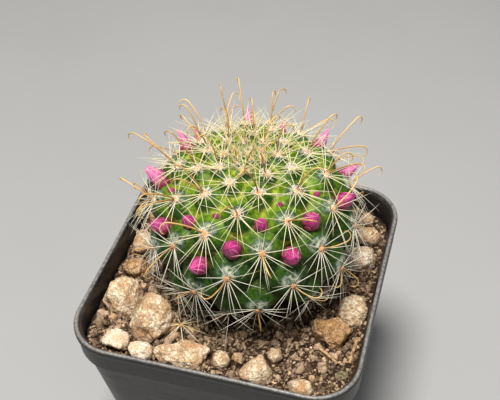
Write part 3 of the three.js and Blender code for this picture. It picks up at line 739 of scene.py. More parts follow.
def stone_finish(name, pale, warm, deep, iron, shade_in_pits_share):
    """Sandy stone: pale faces, warm patches, iron stains, soil dust and painted shade round its foot, painted
    shade in its pits, and dark specks.
    """
    finish = Finish(name)
    broad = finish.calculate("MULTIPLY_ADD", finish.grain(0.6, 3.0), 0.35, finish.grain(2.4, 5.0, 0.7))
    tone = finish.blend(finish.spread(broad, 0.5, 0.76), pale, warm)
    stain = finish.spread(finish.grain(5.5, 4.0, 0.6, stretch=(1.6, 1.0, 0.7)), 0.54, 0.68)
    tone = finish.blend(finish.times(stain, 0.65), tone, iron)
    # Round the stone's foot, soil dust and painted shade darken it towards brown.
    foot_dust_and_shade = finish.spread(finish.level(), SOIL_LEVEL, SOIL_LEVEL + 3, 0.85, 0.0)
    dust = finish.times(foot_dust_and_shade, finish.spread(finish.grain(1.0, 4.0, 0.7), 0.36, 0.6))
    tone = finish.blend(dust, tone, (116, 88, 64))
    # Painted shade in the pits: their centres are darkened towards the deep colour.
    pit_shade = finish.spread(finish.cells(0.7), 0.05, 0.32, 1.0, 0.0)
    pit_shade = finish.times(pit_shade, finish.spread(finish.grain(1.5, 3.0), 0.44, 0.58))
    tone = finish.blend(finish.times(pit_shade, shade_in_pits_share), tone, deep)
    speck = finish.spread(finish.grain(0.32, 3.0, 0.75), 0.52, 0.68)
    tone = finish.blend(finish.times(speck, 0.8), tone, deep)
    relief = finish.bump(finish.grain(0.28, 4.0, 0.75), 0.3)
    relief = finish.bump(finish.cells(0.6), 0.14, relief)
    return finish.set(Base_Color=tone, Roughness=0.95, Normal=relief, Specular_IOR_Level=0.12)


STONE_COLOURS = {
    "cream_stone": ((246, 230, 200), (192, 158, 120), (108, 80, 55), (202, 142, 98), 0.5),
    # Painted light: a lighter copy of the cream stone's colours, for stones that are lit more brightly.
    "painted_light_stone": ((255, 246, 226), (226, 198, 164), (138, 106, 78), (232, 184, 146), 0.35),
    "brown_stone": ((216, 182, 140), (166, 127, 86), (62, 43, 29), (184, 132, 84), 0.8),
    "green_stone": ((178, 184, 150), (146, 150, 116), (92, 88, 64), (168, 160, 122), 0.5),
}
stone_finishes = {name: stone_finish(name, *colours) for name, colours in STONE_COLOURS.items()}

# %% Stones in place
BROWN_STONES = ("stone_right_brown", "stone_back_right", "stone_left_chip", "stone_left_middle")
# These cream stones take the lighter copy of the cream colours, painted as the light falling on them.
PAINTED_LIGHT_STONES = ("stone_right_bright", "stone_corner_left", "stone_front_round")
LARGE_STONE = 6.4 * MM
DENT_SHARE = 0.15
SCALLOP_SHARE = 0.14
KNOB_DEPTH = 0.55 * MM
GRAIN_DEPTH = 0.36 * MM
BROWN_ROUGHNESS = 1.8


def stone_slot(name):
    if name == "stone_right_green":
        return "green_stone"
    return "brown_stone" if name in BROWN_STONES else "cream_stone"


def merged_copy(node, name):
    """A copy of a solid of the model, with the loose triangles of its mesh joined up."""
    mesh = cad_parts[node].data.copy()
    work = bmesh.new()
    work.from_mesh(mesh)
    bmesh.ops.remove_doubles(work, verts=work.verts, dist=0.001 * MM)
    work.to_mesh(mesh)
    work.free()
    return add_object(name, mesh)


def make_stone(node):
    low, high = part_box(node)
    width = max(high - low)
    detail, wear = (4, 4) if width > LARGE_STONE else (3, 2)
    rough = BROWN_ROUGHNESS if node in BROWN_STONES else 1.0
    look = "painted_light_stone" if node in PAINTED_LIGHT_STONES else stone_slot(node)
    stone = merged_copy(node, node.replace("stone", "pumice"))
    grow(stone, stone_tree, Detail=detail, Wear=wear, Dent=DENT_SHARE * width, Scallop=SCALLOP_SHARE * width,
         Knob=KNOB_DEPTH * rough, Grain=GRAIN_DEPTH * rough, Material=stone_finishes[look])
    settle(stone, None, stone_slot(node), node)


for node in STONES:
    make_stone(node)

# %% [markdown]
# ## The stem and its tubercles
#
# The plant's body is one low globe that leans a little. Its surface is all tubercles: soft cones, each with
# a spine cluster on its tip. They come off the growing point one after another, each turned by nearly the
# golden angle from the last, so the eye sees 8 rows winding one way and 13 the other. The same rule gives
# every tip here, with the model's own sizes. A place on the stem is its distance from the crown along the
# surface, and its turn.

# %% Stem outline
STEM_CENTRE = np.array((1.35, 2.8, 58.06)) * MM
STEM_LEAN = (-0.0508, 0.0654)
STEM_RADIUS = 20.25 * MM
STEM_TOP = 17.4 * MM
STEM_BOTTOM = 13.0 * MM
STEM_FULLNESS = 2.53
NECK_RADIUS = 8.5 * MM
ROOT_LENGTH = 9.0 * MM
ROOT_FORM = ((0.96, 0.12), (0.9, 0.35), (0.78, 0.6), (0.55, 0.83), (0.28, 0.96), (0.0, 1.0))


def stem_outline(steps=240):
    """Radius and height of the stem from its crown to its root's tip, and the distance along that line."""
    angle = np.linspace(0, math.pi, steps + 1)
    upper = angle <= math.pi / 2
    power = np.where(upper, 2 / STEM_FULLNESS, 1.0)
    radius = STEM_RADIUS * np.abs(np.sin(angle)) ** power
    height = np.where(upper, STEM_TOP, STEM_BOTTOM) * np.sign(np.cos(angle)) * np.abs(np.cos(angle)) ** power
    body = upper | (radius >= NECK_RADIUS)
    radius, height = radius[body], height[body]
    neck = height[-1]
    radius = np.append(radius, [NECK_RADIUS * r for r, _ in ROOT_FORM])
    height = np.append(height, [neck - ROOT_LENGTH * z for _, z in ROOT_FORM])
    along = np.append(0.0, np.cumsum(np.hypot(np.diff(radius), np.diff(height))))
    return radius, height, along


outline_radius, outline_height, outline_along = stem_outline()
outline_slope = (np.gradient(outline_radius, outline_along), np.gradient(outline_height, outline_along))
STEM_REACH = outline_along[-1]


def stem_axes():
    up = np.array((*STEM_LEAN, 1.0))
    up /= np.linalg.norm(up)
    side = np.cross((0.0, 1.0, 0.0), up)
    side /= np.linalg.norm(side)
    return np.array((side, np.cross(up, side), up))


STEM_AXES = stem_axes()


class Place:
    """Points on the stem's surface with their outward, downward and sideways directions."""

    def __init__(self, reach, turn, height=0.0):
        reach, turn = np.broadcast_arrays(np.asarray(reach, float), np.asarray(turn, float))
        reach = np.clip(reach, 0, STEM_REACH)
        radius = np.interp(reach, outline_along, outline_radius)
        level = np.interp(reach, outline_along, outline_height)
        slope = np.array([np.interp(reach, outline_along, part) for part in outline_slope])
        slope /= np.linalg.norm(slope, axis=0)
        cos, sin = np.cos(turn), np.sin(turn)
        self.out = self.turned(-slope[1] * cos, -slope[1] * sin, slope[0])
        self.down = self.turned(slope[0] * cos, slope[0] * sin, slope[1])
        self.side = self.turned(-sin, cos, np.zeros_like(sin))
        surface = self.turned(radius * cos, radius * sin, level) + STEM_CENTRE
        self.point = surface + self.out * np.asarray(height)[..., None]

    @staticmethod
    def turned(x, y, z):
        return np.stack((x, y, z), axis=-1) @ STEM_AXES


# %% Tubercles along the spiral
TURN = math.radians(137.375)
SPIRAL_START = -1.4123
SPIRAL_REACH = 14.13 * MM
SPIRAL_MIDDLE = 40
SPIRAL_POWER = 1.432
LAST_TUBERCLE = 86
YOUNG_TUBERCLE = 24


def spiral_reach(n):
    return SPIRAL_REACH * (n / SPIRAL_MIDDLE) ** SPIRAL_POWER


def spiral_turn(n):
    return SPIRAL_START - TURN * (n - SPIRAL_MIDDLE)


def spacing(n):
    """Distance between neighbouring tubercles round place n of the spiral."""
    step = spiral_reach(n) * SPIRAL_POWER / n
    radius = np.interp(spiral_reach(n), outline_along, outline_radius)
    return np.sqrt(2 * math.pi * radius * step / math.cos(math.pi / 6))


ages = np.arange(1, LAST_TUBERCLE + 1)
tips = Place(spiral_reach(ages), spiral_turn(ages))
widths = spacing(ages)
print("tubercles:", len(ages), "widest spacing:", round(widths.max() / MM, 2), "mm")

# %% [markdown]
# ## Skin
#
# The skin is a ball of even triangles wrapped on the stem's outline. Each point sinks by its distance from
# the nearest tip, as a share of the tubercles' spacing there, so tips stay on the outline and the lines
# between them fall into grooves. A soft minimum over the tips keeps the grooves' bottoms round. Each point
# also keeps where it lies on its tubercle, because the colours follow that: a dark cap, a pale patch over
# the areole that is partly white scurf and partly a painted highlight, painted shade under each tubercle
# and in the grooves, and yellow-green axils.

# %% Skin form
TUBERCLE_DEPTH = 0.45
TUBERCLE_SHARPNESS = 1.9
HOLLOW_REACH = 0.72
GROOVE_SOFTNESS = 0.018
SKIN_FINENESS = 7
ROOT_START = 0.72
ROOT_BLEND = 4 * MM
RIPPLE_WIDTH = 1.6 * MM
RIPPLE_HEIGHT = 0.07 * MM


def ball_of_triangles(fineness):
    work = bmesh.new()
    bmesh.ops.create_icosphere(work, subdivisions=fineness, radius=1.0)
    points = np.array([vertex.co[:] for vertex in work.verts])
    faces = [tuple(vertex.index for vertex in face.verts) for face in work.faces]
    work.free()
    return points, faces


def tubercle_relief(points, reach):
    """Depth under the tips, each point's nearest tip, its share of the way out, and the groove's gap."""
    share = np.linalg.norm(points[:, None] - tips.point[None], axis=2) / widths
    nearest, second = np.argsort(share, axis=1)[:, :2].T
    rows = np.arange(len(points))
    least = share[rows, nearest]
    crowd = np.exp(-(share - least[:, None]) / GROOVE_SOFTNESS).sum(axis=1)
    soft = np.clip((least - GROOVE_SOFTNESS * np.log(crowd)) / HOLLOW_REACH, 0, 1)
    width = np.interp(reach, spiral_reach(ages), widths)
    return TUBERCLE_DEPTH * width * soft ** TUBERCLE_SHARPNESS, nearest, least, share[rows, second] - least


def make_skin():
    ball, faces = ball_of_triangles(SKIN_FINENESS)
    reach = STEM_REACH * np.arccos(np.clip(ball[:, 2], -1, 1)) / math.pi
    turn = np.arctan2(ball[:, 1], ball[:, 0])
    surface = Place(reach, turn)
    sunk, nearest, share, gap = tubercle_relief(surface.point, reach)
    print("grooves between the tubercles are up to", round(sunk[gap < 0.1].max() / MM, 1), "mm deep")
    root = np.clip((reach - STEM_REACH * ROOT_START) / ROOT_BLEND, 0, 1)
    ripple = np.array([noise.noise(Vector(p) / RIPPLE_WIDTH) for p in surface.point]) * RIPPLE_HEIGHT
    points = Place(reach, turn, -sunk * (1 - root) + ripple * np.minimum(1, share * 4)).point
    offset = surface.point - tips.point[nearest]
    rise = -np.einsum("ij,ij->i", offset, tips.down[nearest]) / widths[nearest]
    across = np.einsum("ij,ij->i", offset, tips.side[nearest]) / widths[nearest]
    return add_piece("cactus_skin", points, faces, groove=gap, share=share, rise=rise, across=across,
                     age=ages[nearest] / LAST_TUBERCLE)


skin = make_skin()

# %% [markdown]
# Three greens make the plant read as alive. A dark green cap lies round every areole, the slopes between
# the caps are a bright yellow-green, and both grow dark with age, until the lowest tubercles are all deep
# green. The underside of each tubercle, below its areole, is painted a darker green as shade, and the
# grooves are painted near-black green as shade, more on old tubercles. Right over each areole lies a small
# pale patch: partly real white scurf and partly a painted highlight. A weak subsurface glow gives the
# flesh its depth.

# %% Skin finish
def skin_finish():
    finish = Finish("cactus_skin")
    age = finish.attribute("age")
    rise = finish.attribute("rise")
    old = finish.spread(age, 0.52, 0.74)
    flesh = finish.spread(finish.grain(0.9, 4.0, 0.6), 0.32, 0.68)
    groove = finish.spread(finish.attribute("groove"), 0.0, 0.12)

    def by_age(young_dark, young_light, old_dark, old_light):
        young = finish.blend(flesh, young_dark, young_light)
        return finish.blend(old, young, finish.blend(flesh, old_dark, old_light))

    flank = by_age((50, 90, 8), (108, 138, 28), (24, 52, 10), (56, 86, 24))
    # The underside of each tubercle, below its areole, is painted a darker green as shade.
    underside_shade = by_age((22, 58, 12), (54, 90, 22), (12, 36, 8), (36, 64, 18))
    axil = by_age((94, 122, 14), (172, 182, 62), (30, 54, 8), (78, 98, 28))
    tone = finish.blend(finish.spread(rise, -0.2, 0.06), underside_shade, flank)
    tone = finish.blend(finish.spread(finish.attribute("share"), 0.4, 0.58), tone, axil)
    # Painted shade: the grooves between the tubercles are darkened towards near-black green, more on old
    # tubercles.
    shade = finish.calculate("MULTIPLY_ADD", groove, -1.0, 1.0)
    shade = finish.times(shade, finish.calculate("MULTIPLY_ADD", old, 0.5, 0.1))
    tone = finish.blend(shade, tone, (8, 26, 8))
    beside = finish.calculate("DIVIDE", finish.attribute("across"), 0.3)
    above = finish.calculate("DIVIDE", finish.calculate("SUBTRACT", rise, 0.1), 0.21)
    away = finish.calculate("ADD", finish.times(beside, beside), finish.times(above, above))
    cap = finish.times(finish.spread(away, 0.45, 1.1, 1.0, 0.0), groove)
    cap = finish.times(cap, finish.spread(age, 0.08, 0.2, 0.15, 1.0))
    cap_tone = finish.blend(flesh, (18, 48, 26), (54, 88, 54))
    tone = finish.blend(finish.times(cap, 0.9), tone, cap_tone)
    # Over each areole a pale patch is painted: partly real white scurf and partly a painted highlight.
    fleck_patch_and_highlight = finish.times(finish.spread(away, 0.05, 0.75, 1.0, 0.0), groove)
    fleck_patch_and_highlight = finish.times(fleck_patch_and_highlight, finish.spread(age, 0.35, 0.7, 0.25, 1.0))
    flecks_and_highlight = finish.spread(finish.grain(0.7, 4.0, 0.65), 0.36, 0.66)
    flecks_and_highlight = finish.times(flecks_and_highlight, finish.times(fleck_patch_and_highlight, 0.9))
    tone = finish.blend(flecks_and_highlight, tone, (200, 206, 184))
    relief = finish.bump(finish.cells(0.34), 0.03)
    relief = finish.bump(finish.grain(0.8, 3.0), 0.14, relief)
    gloss = finish.calculate("MULTIPLY_ADD", fleck_patch_and_highlight, 0.3, 0.42)
    return finish.set(Base_Color=tone, Roughness=gloss, Normal=relief, Subsurface_Weight=0.05,
                      Subsurface_Radius=(0.6, 1.0, 0.3), Subsurface_Scale=0.8 * MM, Specular_IOR_Level=0.18)


settle(skin, skin_finish(), "cactus_skin", "cactus")

# %% [markdown]
# ## Flower buds: places
#
# The buds sit in a ring round the stem, each in the axil over one tubercle. Those at the sides and the back
# are further on: longer, paler and drawn to a finer point. Their places come before the spines, because the
# spines bend clear of them.

# %% Bud places
GROWN_BUDS = [n for n in range(53, 70) if n != 55]
SMALL_BUDS = (45, 48, 50, 51)
DRAWN_BUDS = (54, 57, 59, 60, 62, 65, 67, 68)
DRAWN_LENGTH = 0.28
BUD_LENGTH = 4.4 * MM
BUD_RADIUS = 1.65 * MM
SMALL_BUD_SCALE = 0.45
YOUNG_BUDS = (53, 56)
YOUNG_BUD_SCALE = 0.76
ROWS = (8, 13)


def bud_place(n, along, height, scale):
    """Foot, axis and size of the bud over tubercle n, between the two tubercles 8 and 13 places before it."""
    row_turns = (ROWS[0] * TURN - 6 * math.pi) + (ROWS[1] * TURN - 10 * math.pi)
    place = Place(spiral_reach(n - sum(ROWS) * along), spiral_turn(n) + row_turns * along, height)
    axis = place.out - 0.25 * place.down
    axis /= np.linalg.norm(axis)
    length = BUD_LENGTH * scale
    return {"n": n, "axis": axis, "foot": place.point - axis * length / 2, "length": length,
            "radius": BUD_RADIUS * scale}


buds = [bud_place(n, 0.32, -1.5 * MM, SMALL_BUD_SCALE) for n in SMALL_BUDS]
buds += [bud_place(n, 0.45, -1.1 * MM, YOUNG_BUD_SCALE) for n in YOUNG_BUDS]
buds += [bud_place(n, 0.45, -0.6 * MM, 1.0) for n in GROWN_BUDS if n not in YOUNG_BUDS]
for bud in buds:
    bud["drawn"] = 1.0 if bud["n"] in DRAWN_BUDS else 0.0
    bud["closed"] = 0.65 if bud["n"] in SMALL_BUDS else 0.0
    bud["length"] *= 1 + DRAWN_LENGTH * bud["drawn"]

# %% [markdown]
# ## Spines
#
# Every areole holds a star of about 15 thin cream spines, nearly flat on the stem, and one or two stout
# golden ones that end in a hook. A spine is a line of a few points with a thickness at each, and one
# Geometry Nodes tree sweeps a round section along all lines at once. Each line takes the lowest lift from
# the surface that keeps it clear of buds, stones, soil and pot, as growing spines slide past what they
# meet.

# %% Room for a spine
CLEARANCE = 0.25 * MM


def is_blocked(points):
    """Whether any point of a line lies in a bud, a stone, the soil or the pot's wall."""
    for bud in buds:
        offset = points - bud["foot"]
        along = np.clip(offset @ bud["axis"], 0, bud["length"])
        if np.linalg.norm(offset - along[:, None] * bud["axis"], axis=1).min() < bud["radius"] + CLEARANCE:
            return True
    low = points[points[:, 2] < POT_HEIGHT + 8 * MM]
    if not len(low):
        return False
    away = (low[:, None] - stone_middles) / (stone_halves * 0.95 + CLEARANCE)
    if np.linalg.norm(away, axis=2).min() < 1:
        return True
    if (low[:, 2] < soil_height(low[:, 0], low[:, 1]) + 0.6 * MM).any():
        return True
    beside = np.abs(low[:, :2]).max(axis=1) > POT_SIDE / 2 - BEAD_PROUD - POT_WALL - CLEARANCE
    return bool((beside & (low[:, 2] < POT_HEIGHT + CLEARANCE)).any())


def clear_line(line_at, lift, step=6, highest=86):
    """The first line from this lift upwards, in degrees, that meets nothing, or None where nothing fits."""
    for degrees in np.arange(lift, highest, step):
        points = line_at(math.radians(degrees))
        inner = points[1:]
        if not is_blocked(np.concatenate((inner, (points[1:] + points[:-1]) / 2))):
            return points
    return None


# %% Lines of the spines
class Lines:
    """Lines gathered for one sweep, with the thickness, the way along and the tint at each point."""

    def __init__(self):
        self.points, self.edges = [], []
        self.thickness, self.along, self.tint = [], [], []

    def add(self, points, thickness, tint):
        start, count = len(self.points), len(points)
        self.points += [tuple(p) for p in points]
        self.edges += [(start + k, start + k + 1) for k in range(count - 1)]
        self.thickness += list(np.broadcast_to(thickness, count))
        self.along += list(np.linspace(0, 1, count))
        self.tint += [tint] * count

    def piece(self, name):
        return add_piece(name, self.points, edges=self.edges, thickness=self.thickness, along=self.along,
                         tint=self.tint)


def direction(index, bearing, lift):
    """Direction from an areole: bearing turns from straight down the stem, lift raises it off the skin."""
    flat = tips.down[index] * math.cos(bearing) + tips.side[index] * math.sin(bearing)
    return flat * math.cos(lift) + tips.out[index] * math.sin(lift)


RADIAL_LENGTH = 7.8 * MM
RADIAL_COUNT = 14
FIRST_RADIAL = 6
DOWNWARD_CROWDING = 0.42
RADIAL_TAPER = np.array((1.0, 0.95, 0.8, 0.55, 0.14))

# Each pair holds tubercle ages and the value at each age
RADIAL_GROWTH = ((FIRST_RADIAL, 12, 20), (0.3, 0.55, 1.0))
RADIAL_THICKNESS = ((FIRST_RADIAL, 20, 45, 64), (0.072, 0.09, 0.074, 0.066))
RADIAL_LIFT = ((FIRST_RADIAL, 14, YOUNG_TUBERCLE, 40), (70, 48, 24, 12))
RADIAL_GOLD = ((8, 16, 46, 60), (0.95, 0.6, 0.35, 0.0))


def radial_line(index, bearing, lift, length, bend):
    """A thin spine: drawn a little back towards the stem at its end, and bent a little to one side."""
    way = direction(index, bearing, lift)
    steps = np.linspace(0, 1, 5)[:, None]
    root = tips.point[index] - 0.25 * MM * tips.out[index] + 0.22 * MM * way
    sag = np.cross(tips.out[index], way) * bend - tips.out[index] * 0.05
    return root + way * length * steps + sag * length * steps ** 2


def make_radials(random):
    lines = Lines()
    for index, age in enumerate(ages):
        if age < FIRST_RADIAL:
            continue
        growth = np.interp(age, *RADIAL_GROWTH)
        count = round(RADIAL_COUNT * growth) + random.integers(0, 2)
        start = random.uniform(0, 2 * math.pi)
        thickness = np.interp(age, *RADIAL_THICKNESS) * MM
        golden = np.interp(age, *RADIAL_GOLD)
        for i in range(count):
            bearing = start + 2 * math.pi * (i + random.uniform(-0.38, 0.38)) / count
            bearing -= DOWNWARD_CROWDING * growth * math.sin(bearing)
            length = RADIAL_LENGTH * growth * random.uniform(0.66, 1.12) * (0.93 + 0.07 * math.cos(bearing))
            lift = np.interp(age, *RADIAL_LIFT) + random.uniform(-4, 16)
            bend = random.uniform(-0.09, 0.09)
            points = clear_line(lambda angle: radial_line(index, bearing, angle, length, bend), lift)
            if points is not None:
                tint = golden * random.uniform(0.5, 1.2) + random.uniform(0, 0.2)
                lines.add(points, thickness * RADIAL_TAPER * random.uniform(0.85, 1.1), tint)
    return lines


HOOK_LENGTH = 11.6 * MM
HOOK_THICKNESS = 0.15 * MM
HOOK_CURL = 3.6 * MM
HOOK_BOW = 0.16
HOOK_SWEEP = math.radians(185)
HOOK_EASE = 1.4
FIRST_HOOK = 14
HOOK_GROWTH = ((FIRST_HOOK, YOUNG_TUBERCLE, 46, 62, LAST_TUBERCLE), (0.5, 0.92, 1.0, 0.68, 0.5))
HOOK_LIFT = ((FIRST_HOOK, 46, 62, LAST_TUBERCLE), (84, 74, 52, 38))
HOOK_TAPER = ((0, 0.6, 0.9, 1.0), (1.0, 0.85, 0.62, 0.2))
SECOND_HOOK = {"after": 16, "share": 0.3, "fall": 18}

# Hooks posed one by one, by tubercle age: bearing, lift and curl in degrees, and a factor for the length
HOOK_POSES = {
    40: (-20, 82, -40, 1), 45: (20, 80, 60, 1), 48: (-95, 30, 0, 1), 50: (100, 30, 150, 1),
    53: (0, 84, 20, 1), 57: (10, 78, 30, 1.3), 58: (85, 28, 170, 1), 61: (-40, 32, -80, 1),
    66: (50, 32, 90, 1), 69: (-65, 28, -10, 1), 74: (5, 40, 0, 1),
}


def hook_line(index, bearing, lift, length, curl):
    """A hooked spine: a shaft that bows a little, with its end turned over. Curl 0 turns it downwards."""
    shaft = direction(index, bearing, lift)
    over = tips.down[index] * math.cos(curl) + tips.side[index] * math.sin(curl)
    over -= shaft * (over @ shaft)
    over /= np.linalg.norm(over)
    start = 1 - min(0.5, HOOK_CURL / length)
    marks = np.concatenate((np.linspace(0, start, 6)[:-1], np.linspace(start, 1, 12)))
    middle = (marks[1:] + marks[:-1]) / 2
    bent = HOOK_SWEEP * np.clip((middle - start) / (1 - start), 0, 1) ** HOOK_EASE
    bent -= HOOK_BOW * np.cos(math.pi * np.minimum(1, middle / start))
    stride = np.diff(marks)[:, None] * length
    steps = (shaft * np.cos(bent)[:, None] + over * np.sin(bent)[:, None]) * stride
    root = tips.point[index] - 0.3 * MM * tips.out[index]
    return np.concatenate(([root], root + np.cumsum(steps, axis=0)))


def make_hooks(random):
    lines = Lines()
    for index, age in enumerate(ages):
        if age < FIRST_HOOK:
            continue
        growth = np.interp(age, *HOOK_GROWTH)
        second = age > SECOND_HOOK["after"] and random.uniform() < SECOND_HOOK["share"]
        count = 2 if second and age not in HOOK_POSES else 1
        for extra in range(count):
            bearing = random.uniform(-1.9, 1.9)
            length = HOOK_LENGTH * growth * random.uniform(0.86, 1.08) * (1 - 0.2 * extra)
            lift = np.interp(age, *HOOK_LIFT) + random.uniform(-9, 9)
            curl = random.uniform(-0.9, 0.9) + 0.5 * bearing
            if age in HOOK_POSES:
                bearing, lift, curl, share = HOOK_POSES[age]
                bearing, curl, length = math.radians(bearing), math.radians(curl), length * share
            lift -= SECOND_HOOK["fall"] * extra
            points = clear_line(lambda angle: hook_line(index, bearing, angle, length, curl), lift)
            if points is not None:
                taper = np.interp(np.linspace(0, 1, len(points)), *HOOK_TAPER)
                lines.add(points, HOOK_THICKNESS * (0.55 + 0.45 * growth) * taper, random.uniform(0, 1))
    return lines


# %% Sweep by Geometry Nodes
def sweep_growth():
    """A round section swept along every line, as thick at each point as its thickness attribute says."""
    tree, given = new_growth("sweep", Sides="Int")
    curve = put(tree, "GeometryNodeMeshToCurve", {"Mesh": given["Geometry"]}).outputs[0]
    section = put(tree, "GeometryNodeCurvePrimitiveCircle",
                  {"Resolution": given["Sides"], "Radius": 1.0}).outputs[0]
    inputs = {"Curve": curve, "Profile Curve": section, "Scale": named(tree, "thickness"), "Fill Caps": True}
    swept = put(tree, "GeometryNodeCurveToMesh", inputs).outputs[0]
    close_growth(tree, swept, given["Material"])
    return tree


sweep_tree = sweep_growth()

# %% Spine finishes
def thin_spine_finish():
    finish = Finish("cream_spine")
    along = finish.attribute("along")
    tint = finish.attribute("tint")
    tone = finish.blend(tint, (230, 226, 208), (204, 184, 98))
    tone = finish.blend(finish.spread(along, 0.7, 1.0, 0.0, 0.5), tone, (206, 186, 142))
    root = finish.times(finish.spread(along, 0.03, 0.17, 0.9, 0.0), finish.spread(tint, 0.5, 0.9, 1.0, 0.2))
    tone = finish.blend(root, tone, (216, 138, 58))
    return finish.set(Base_Color=tone, Roughness=0.45, Subsurface_Weight=0.3, Subsurface_Scale=0.3 * MM,
                      Subsurface_Radius=(1.0, 0.9, 0.6))


def hook_finish():
    finish = Finish("golden_spine")
    along = finish.attribute("along")
    root = finish.blend(finish.attribute("tint"), (132, 82, 34), (184, 132, 66))
    shaft = finish.blend(finish.attribute("tint"), (178, 136, 72), (222, 186, 120))
    tone = finish.blend(finish.spread(along, 0.0, 0.35), root, shaft)
    # The lighter gold patches along the hooks are painted highlights.
    tone = finish.blend(finish.spread(finish.grain(1.2), 0.45, 0.7, 0.0, 0.4), tone, (214, 184, 122))
    return finish.set(Base_Color=tone, Roughness=0.38, Subsurface_Weight=0.2, Subsurface_Scale=0.3 * MM,
                      Subsurface_Radius=(1.0, 0.7, 0.3))


# %% Spines in place
radials = make_radials(np.random.default_rng(17)).piece("radial_spines")
grow(radials, sweep_tree, Sides=5, Material=thin_spine_finish())
settle(radials, None, "cactus_skin")
hooks = make_hooks(np.random.default_rng(5)).piece("hooked_spines")
grow(hooks, sweep_tree, Sides=7, Material=hook_finish())
settle(hooks, None, "cactus_skin")

# %% [markdown]
# ## Areoles and wool
#
# Each spine cluster stands on an areole, a small felted cushion that is cream on young tubercles and
# orange-brown on old ones. White wool grows round it, thick on the young tubercles near the crown and worn
# away on the old ones below. Geometry Nodes set one cushion on every tip, and copy each tip many times to
# grow a short curled fibre from every copy.

# %% Areole points
def areole_points(name, size):
    """One point on each tip, with its outward direction and the size of what grows there."""
    return add_piece(name, tips.point, smooth=False, facing=tips.out, size=size, age=ages / LAST_TUBERCLE)


WOOL_BY_AGE = ((1, 8, 14, 22, 34, 44, 58, 86), (0.1, 0.3, 0.7, 0.95, 0.9, 0.6, 0.25, 0.1))
FELT_BY_AGE = ((1, 8, 16, 40, 58, 86), (0.15, 0.3, 0.62, 0.66, 0.5, 0.42))
wool_share = np.interp(ages, *WOOL_BY_AGE)
felt_size = np.interp(ages, *FELT_BY_AGE) * MM


# %% Cushions by Geometry Nodes
FELT_DEPTH = 0.35 * MM


def cushion_growth():
    tree, given = new_growth("areole_cushions", Thickness="Float")
    facing, size = named(tree, "facing", "FLOAT_VECTOR"), named(tree, "size")
    turn = put(tree, "FunctionNodeAlignRotationToVector", {"Vector": facing}).outputs[0]
    ball = put(tree, "GeometryNodeMeshIcoSphere", {"Radius": 1.0, "Subdivisions": 3}).outputs[0]
    place = put(tree, "GeometryNodeInputPosition").outputs[0]
    ball = keep(tree, ball, "top", put(tree, "ShaderNodeSeparateXYZ", {0: place}).outputs["Z"])
    flat = put(tree, "ShaderNodeCombineXYZ", {"X": 1.0, "Y": 1.0, "Z": given["Thickness"]}).outputs[0]
    points = put(tree, "GeometryNodeMeshToPoints", {"Mesh": given["Geometry"]}).outputs[0]
    placed = copies(tree, points, ball, turn, scaled(tree, flat, size))
    close_growth(tree, rumpled(tree, placed, 4200.0, 2.0, FELT_DEPTH), given["Material"])
    return tree


# %% Wool by Geometry Nodes
WOOL_RING = 0.7 * MM
FIBRE_ARC = {"Resolution": 5, "Radius": 0.6, "Start Angle": 0.0, "Sweep Angle": 2.2}


def wool_growth():
    """Short curled fibres that stand in a ring round every point and lean outwards."""
    tree, given = new_growth("wool", Fibres="Int", Length="Float", Thickness="Float", Seed="Int")
    facing, size = named(tree, "facing", "FLOAT_VECTOR"), named(tree, "size")
    points = put(tree, "GeometryNodeMeshToPoints", {"Mesh": given["Geometry"]}).outputs[0]
    amount = calculate(tree, "MULTIPLY", size, given["Fibres"])
    roots = put(tree, "GeometryNodeDuplicateElements", {"Geometry": points, "Amount": amount}, domain="POINT")
    stray = random_vector(tree, (-1, -1, -1), (1, 1, 1), given["Seed"])
    ring = combine(tree, "CROSS_PRODUCT", facing, stray)
    roots = moved(tree, roots.outputs[0], scaled(tree, ring, WOOL_RING))
    way = combine(tree, "ADD", ring, facing)
    turn = put(tree, "FunctionNodeAlignRotationToVector", {"Vector": way}).outputs[0]
    spin = put(tree, "FunctionNodeAxisAngleToRotation",
               {"Axis": (0, 0, 1), "Angle": random_number(tree, 0.0, FULL_TURN, 5)}).outputs[0]
    turn = put(tree, "FunctionNodeRotateRotation", {"Rotation": turn, "Rotate By": spin},
               rotation_space="LOCAL").outputs[0]
    arc = put(tree, "GeometryNodeCurveArc", FIBRE_ARC, mode="RADIUS").outputs[0]
    to_foot = {"Geometry": arc, "Translation": (-FIBRE_ARC["Radius"], 0, 0), "Rotation": (1.57, 0, 0)}
    upright = put(tree, "GeometryNodeTransform", to_foot).outputs[0]
    section = put(tree, "GeometryNodeCurvePrimitiveCircle",
                  {"Resolution": 3, "Radius": given["Thickness"]}).outputs[0]
    fibre = put(tree, "GeometryNodeCurveToMesh",
                {"Curve": upright, "Profile Curve": section, "Fill Caps": True}).outputs[0]
    stretch = calculate(tree, "MULTIPLY", random_number(tree, 0.5, 1.0, 9), given["Length"])
    scale = calculate(tree, "MULTIPLY", stretch, calculate(tree, "MULTIPLY_ADD", size, 0.6, 0.4))
    close_growth(tree, copies(tree, roots, fibre, turn, scale), given["Material"])
    return tree


# %% Wool and cushion finishes
def felt_finish():
    finish = Finish("areole_felt")
    old = finish.spread(finish.attribute("age"), 0.5, 0.7)
    young_felt = finish.blend(finish.grain(0.35, 3.0), (230, 206, 156), (252, 246, 226))
    old_felt = finish.blend(finish.grain(0.35, 3.0), (170, 96, 38), (228, 178, 108))
    heart = finish.spread(finish.attribute("top"), 0.35, 0.8, 0.0, 0.9)
    young_felt = finish.blend(heart, young_felt, (226, 146, 64))
    tone = finish.blend(old, young_felt, old_felt)
    return finish.set(Base_Color=tone, Roughness=0.9, Normal=finish.bump(finish.grain(0.12), 0.08),
                      Sheen_Weight=0.4, Sheen_Roughness=0.5)


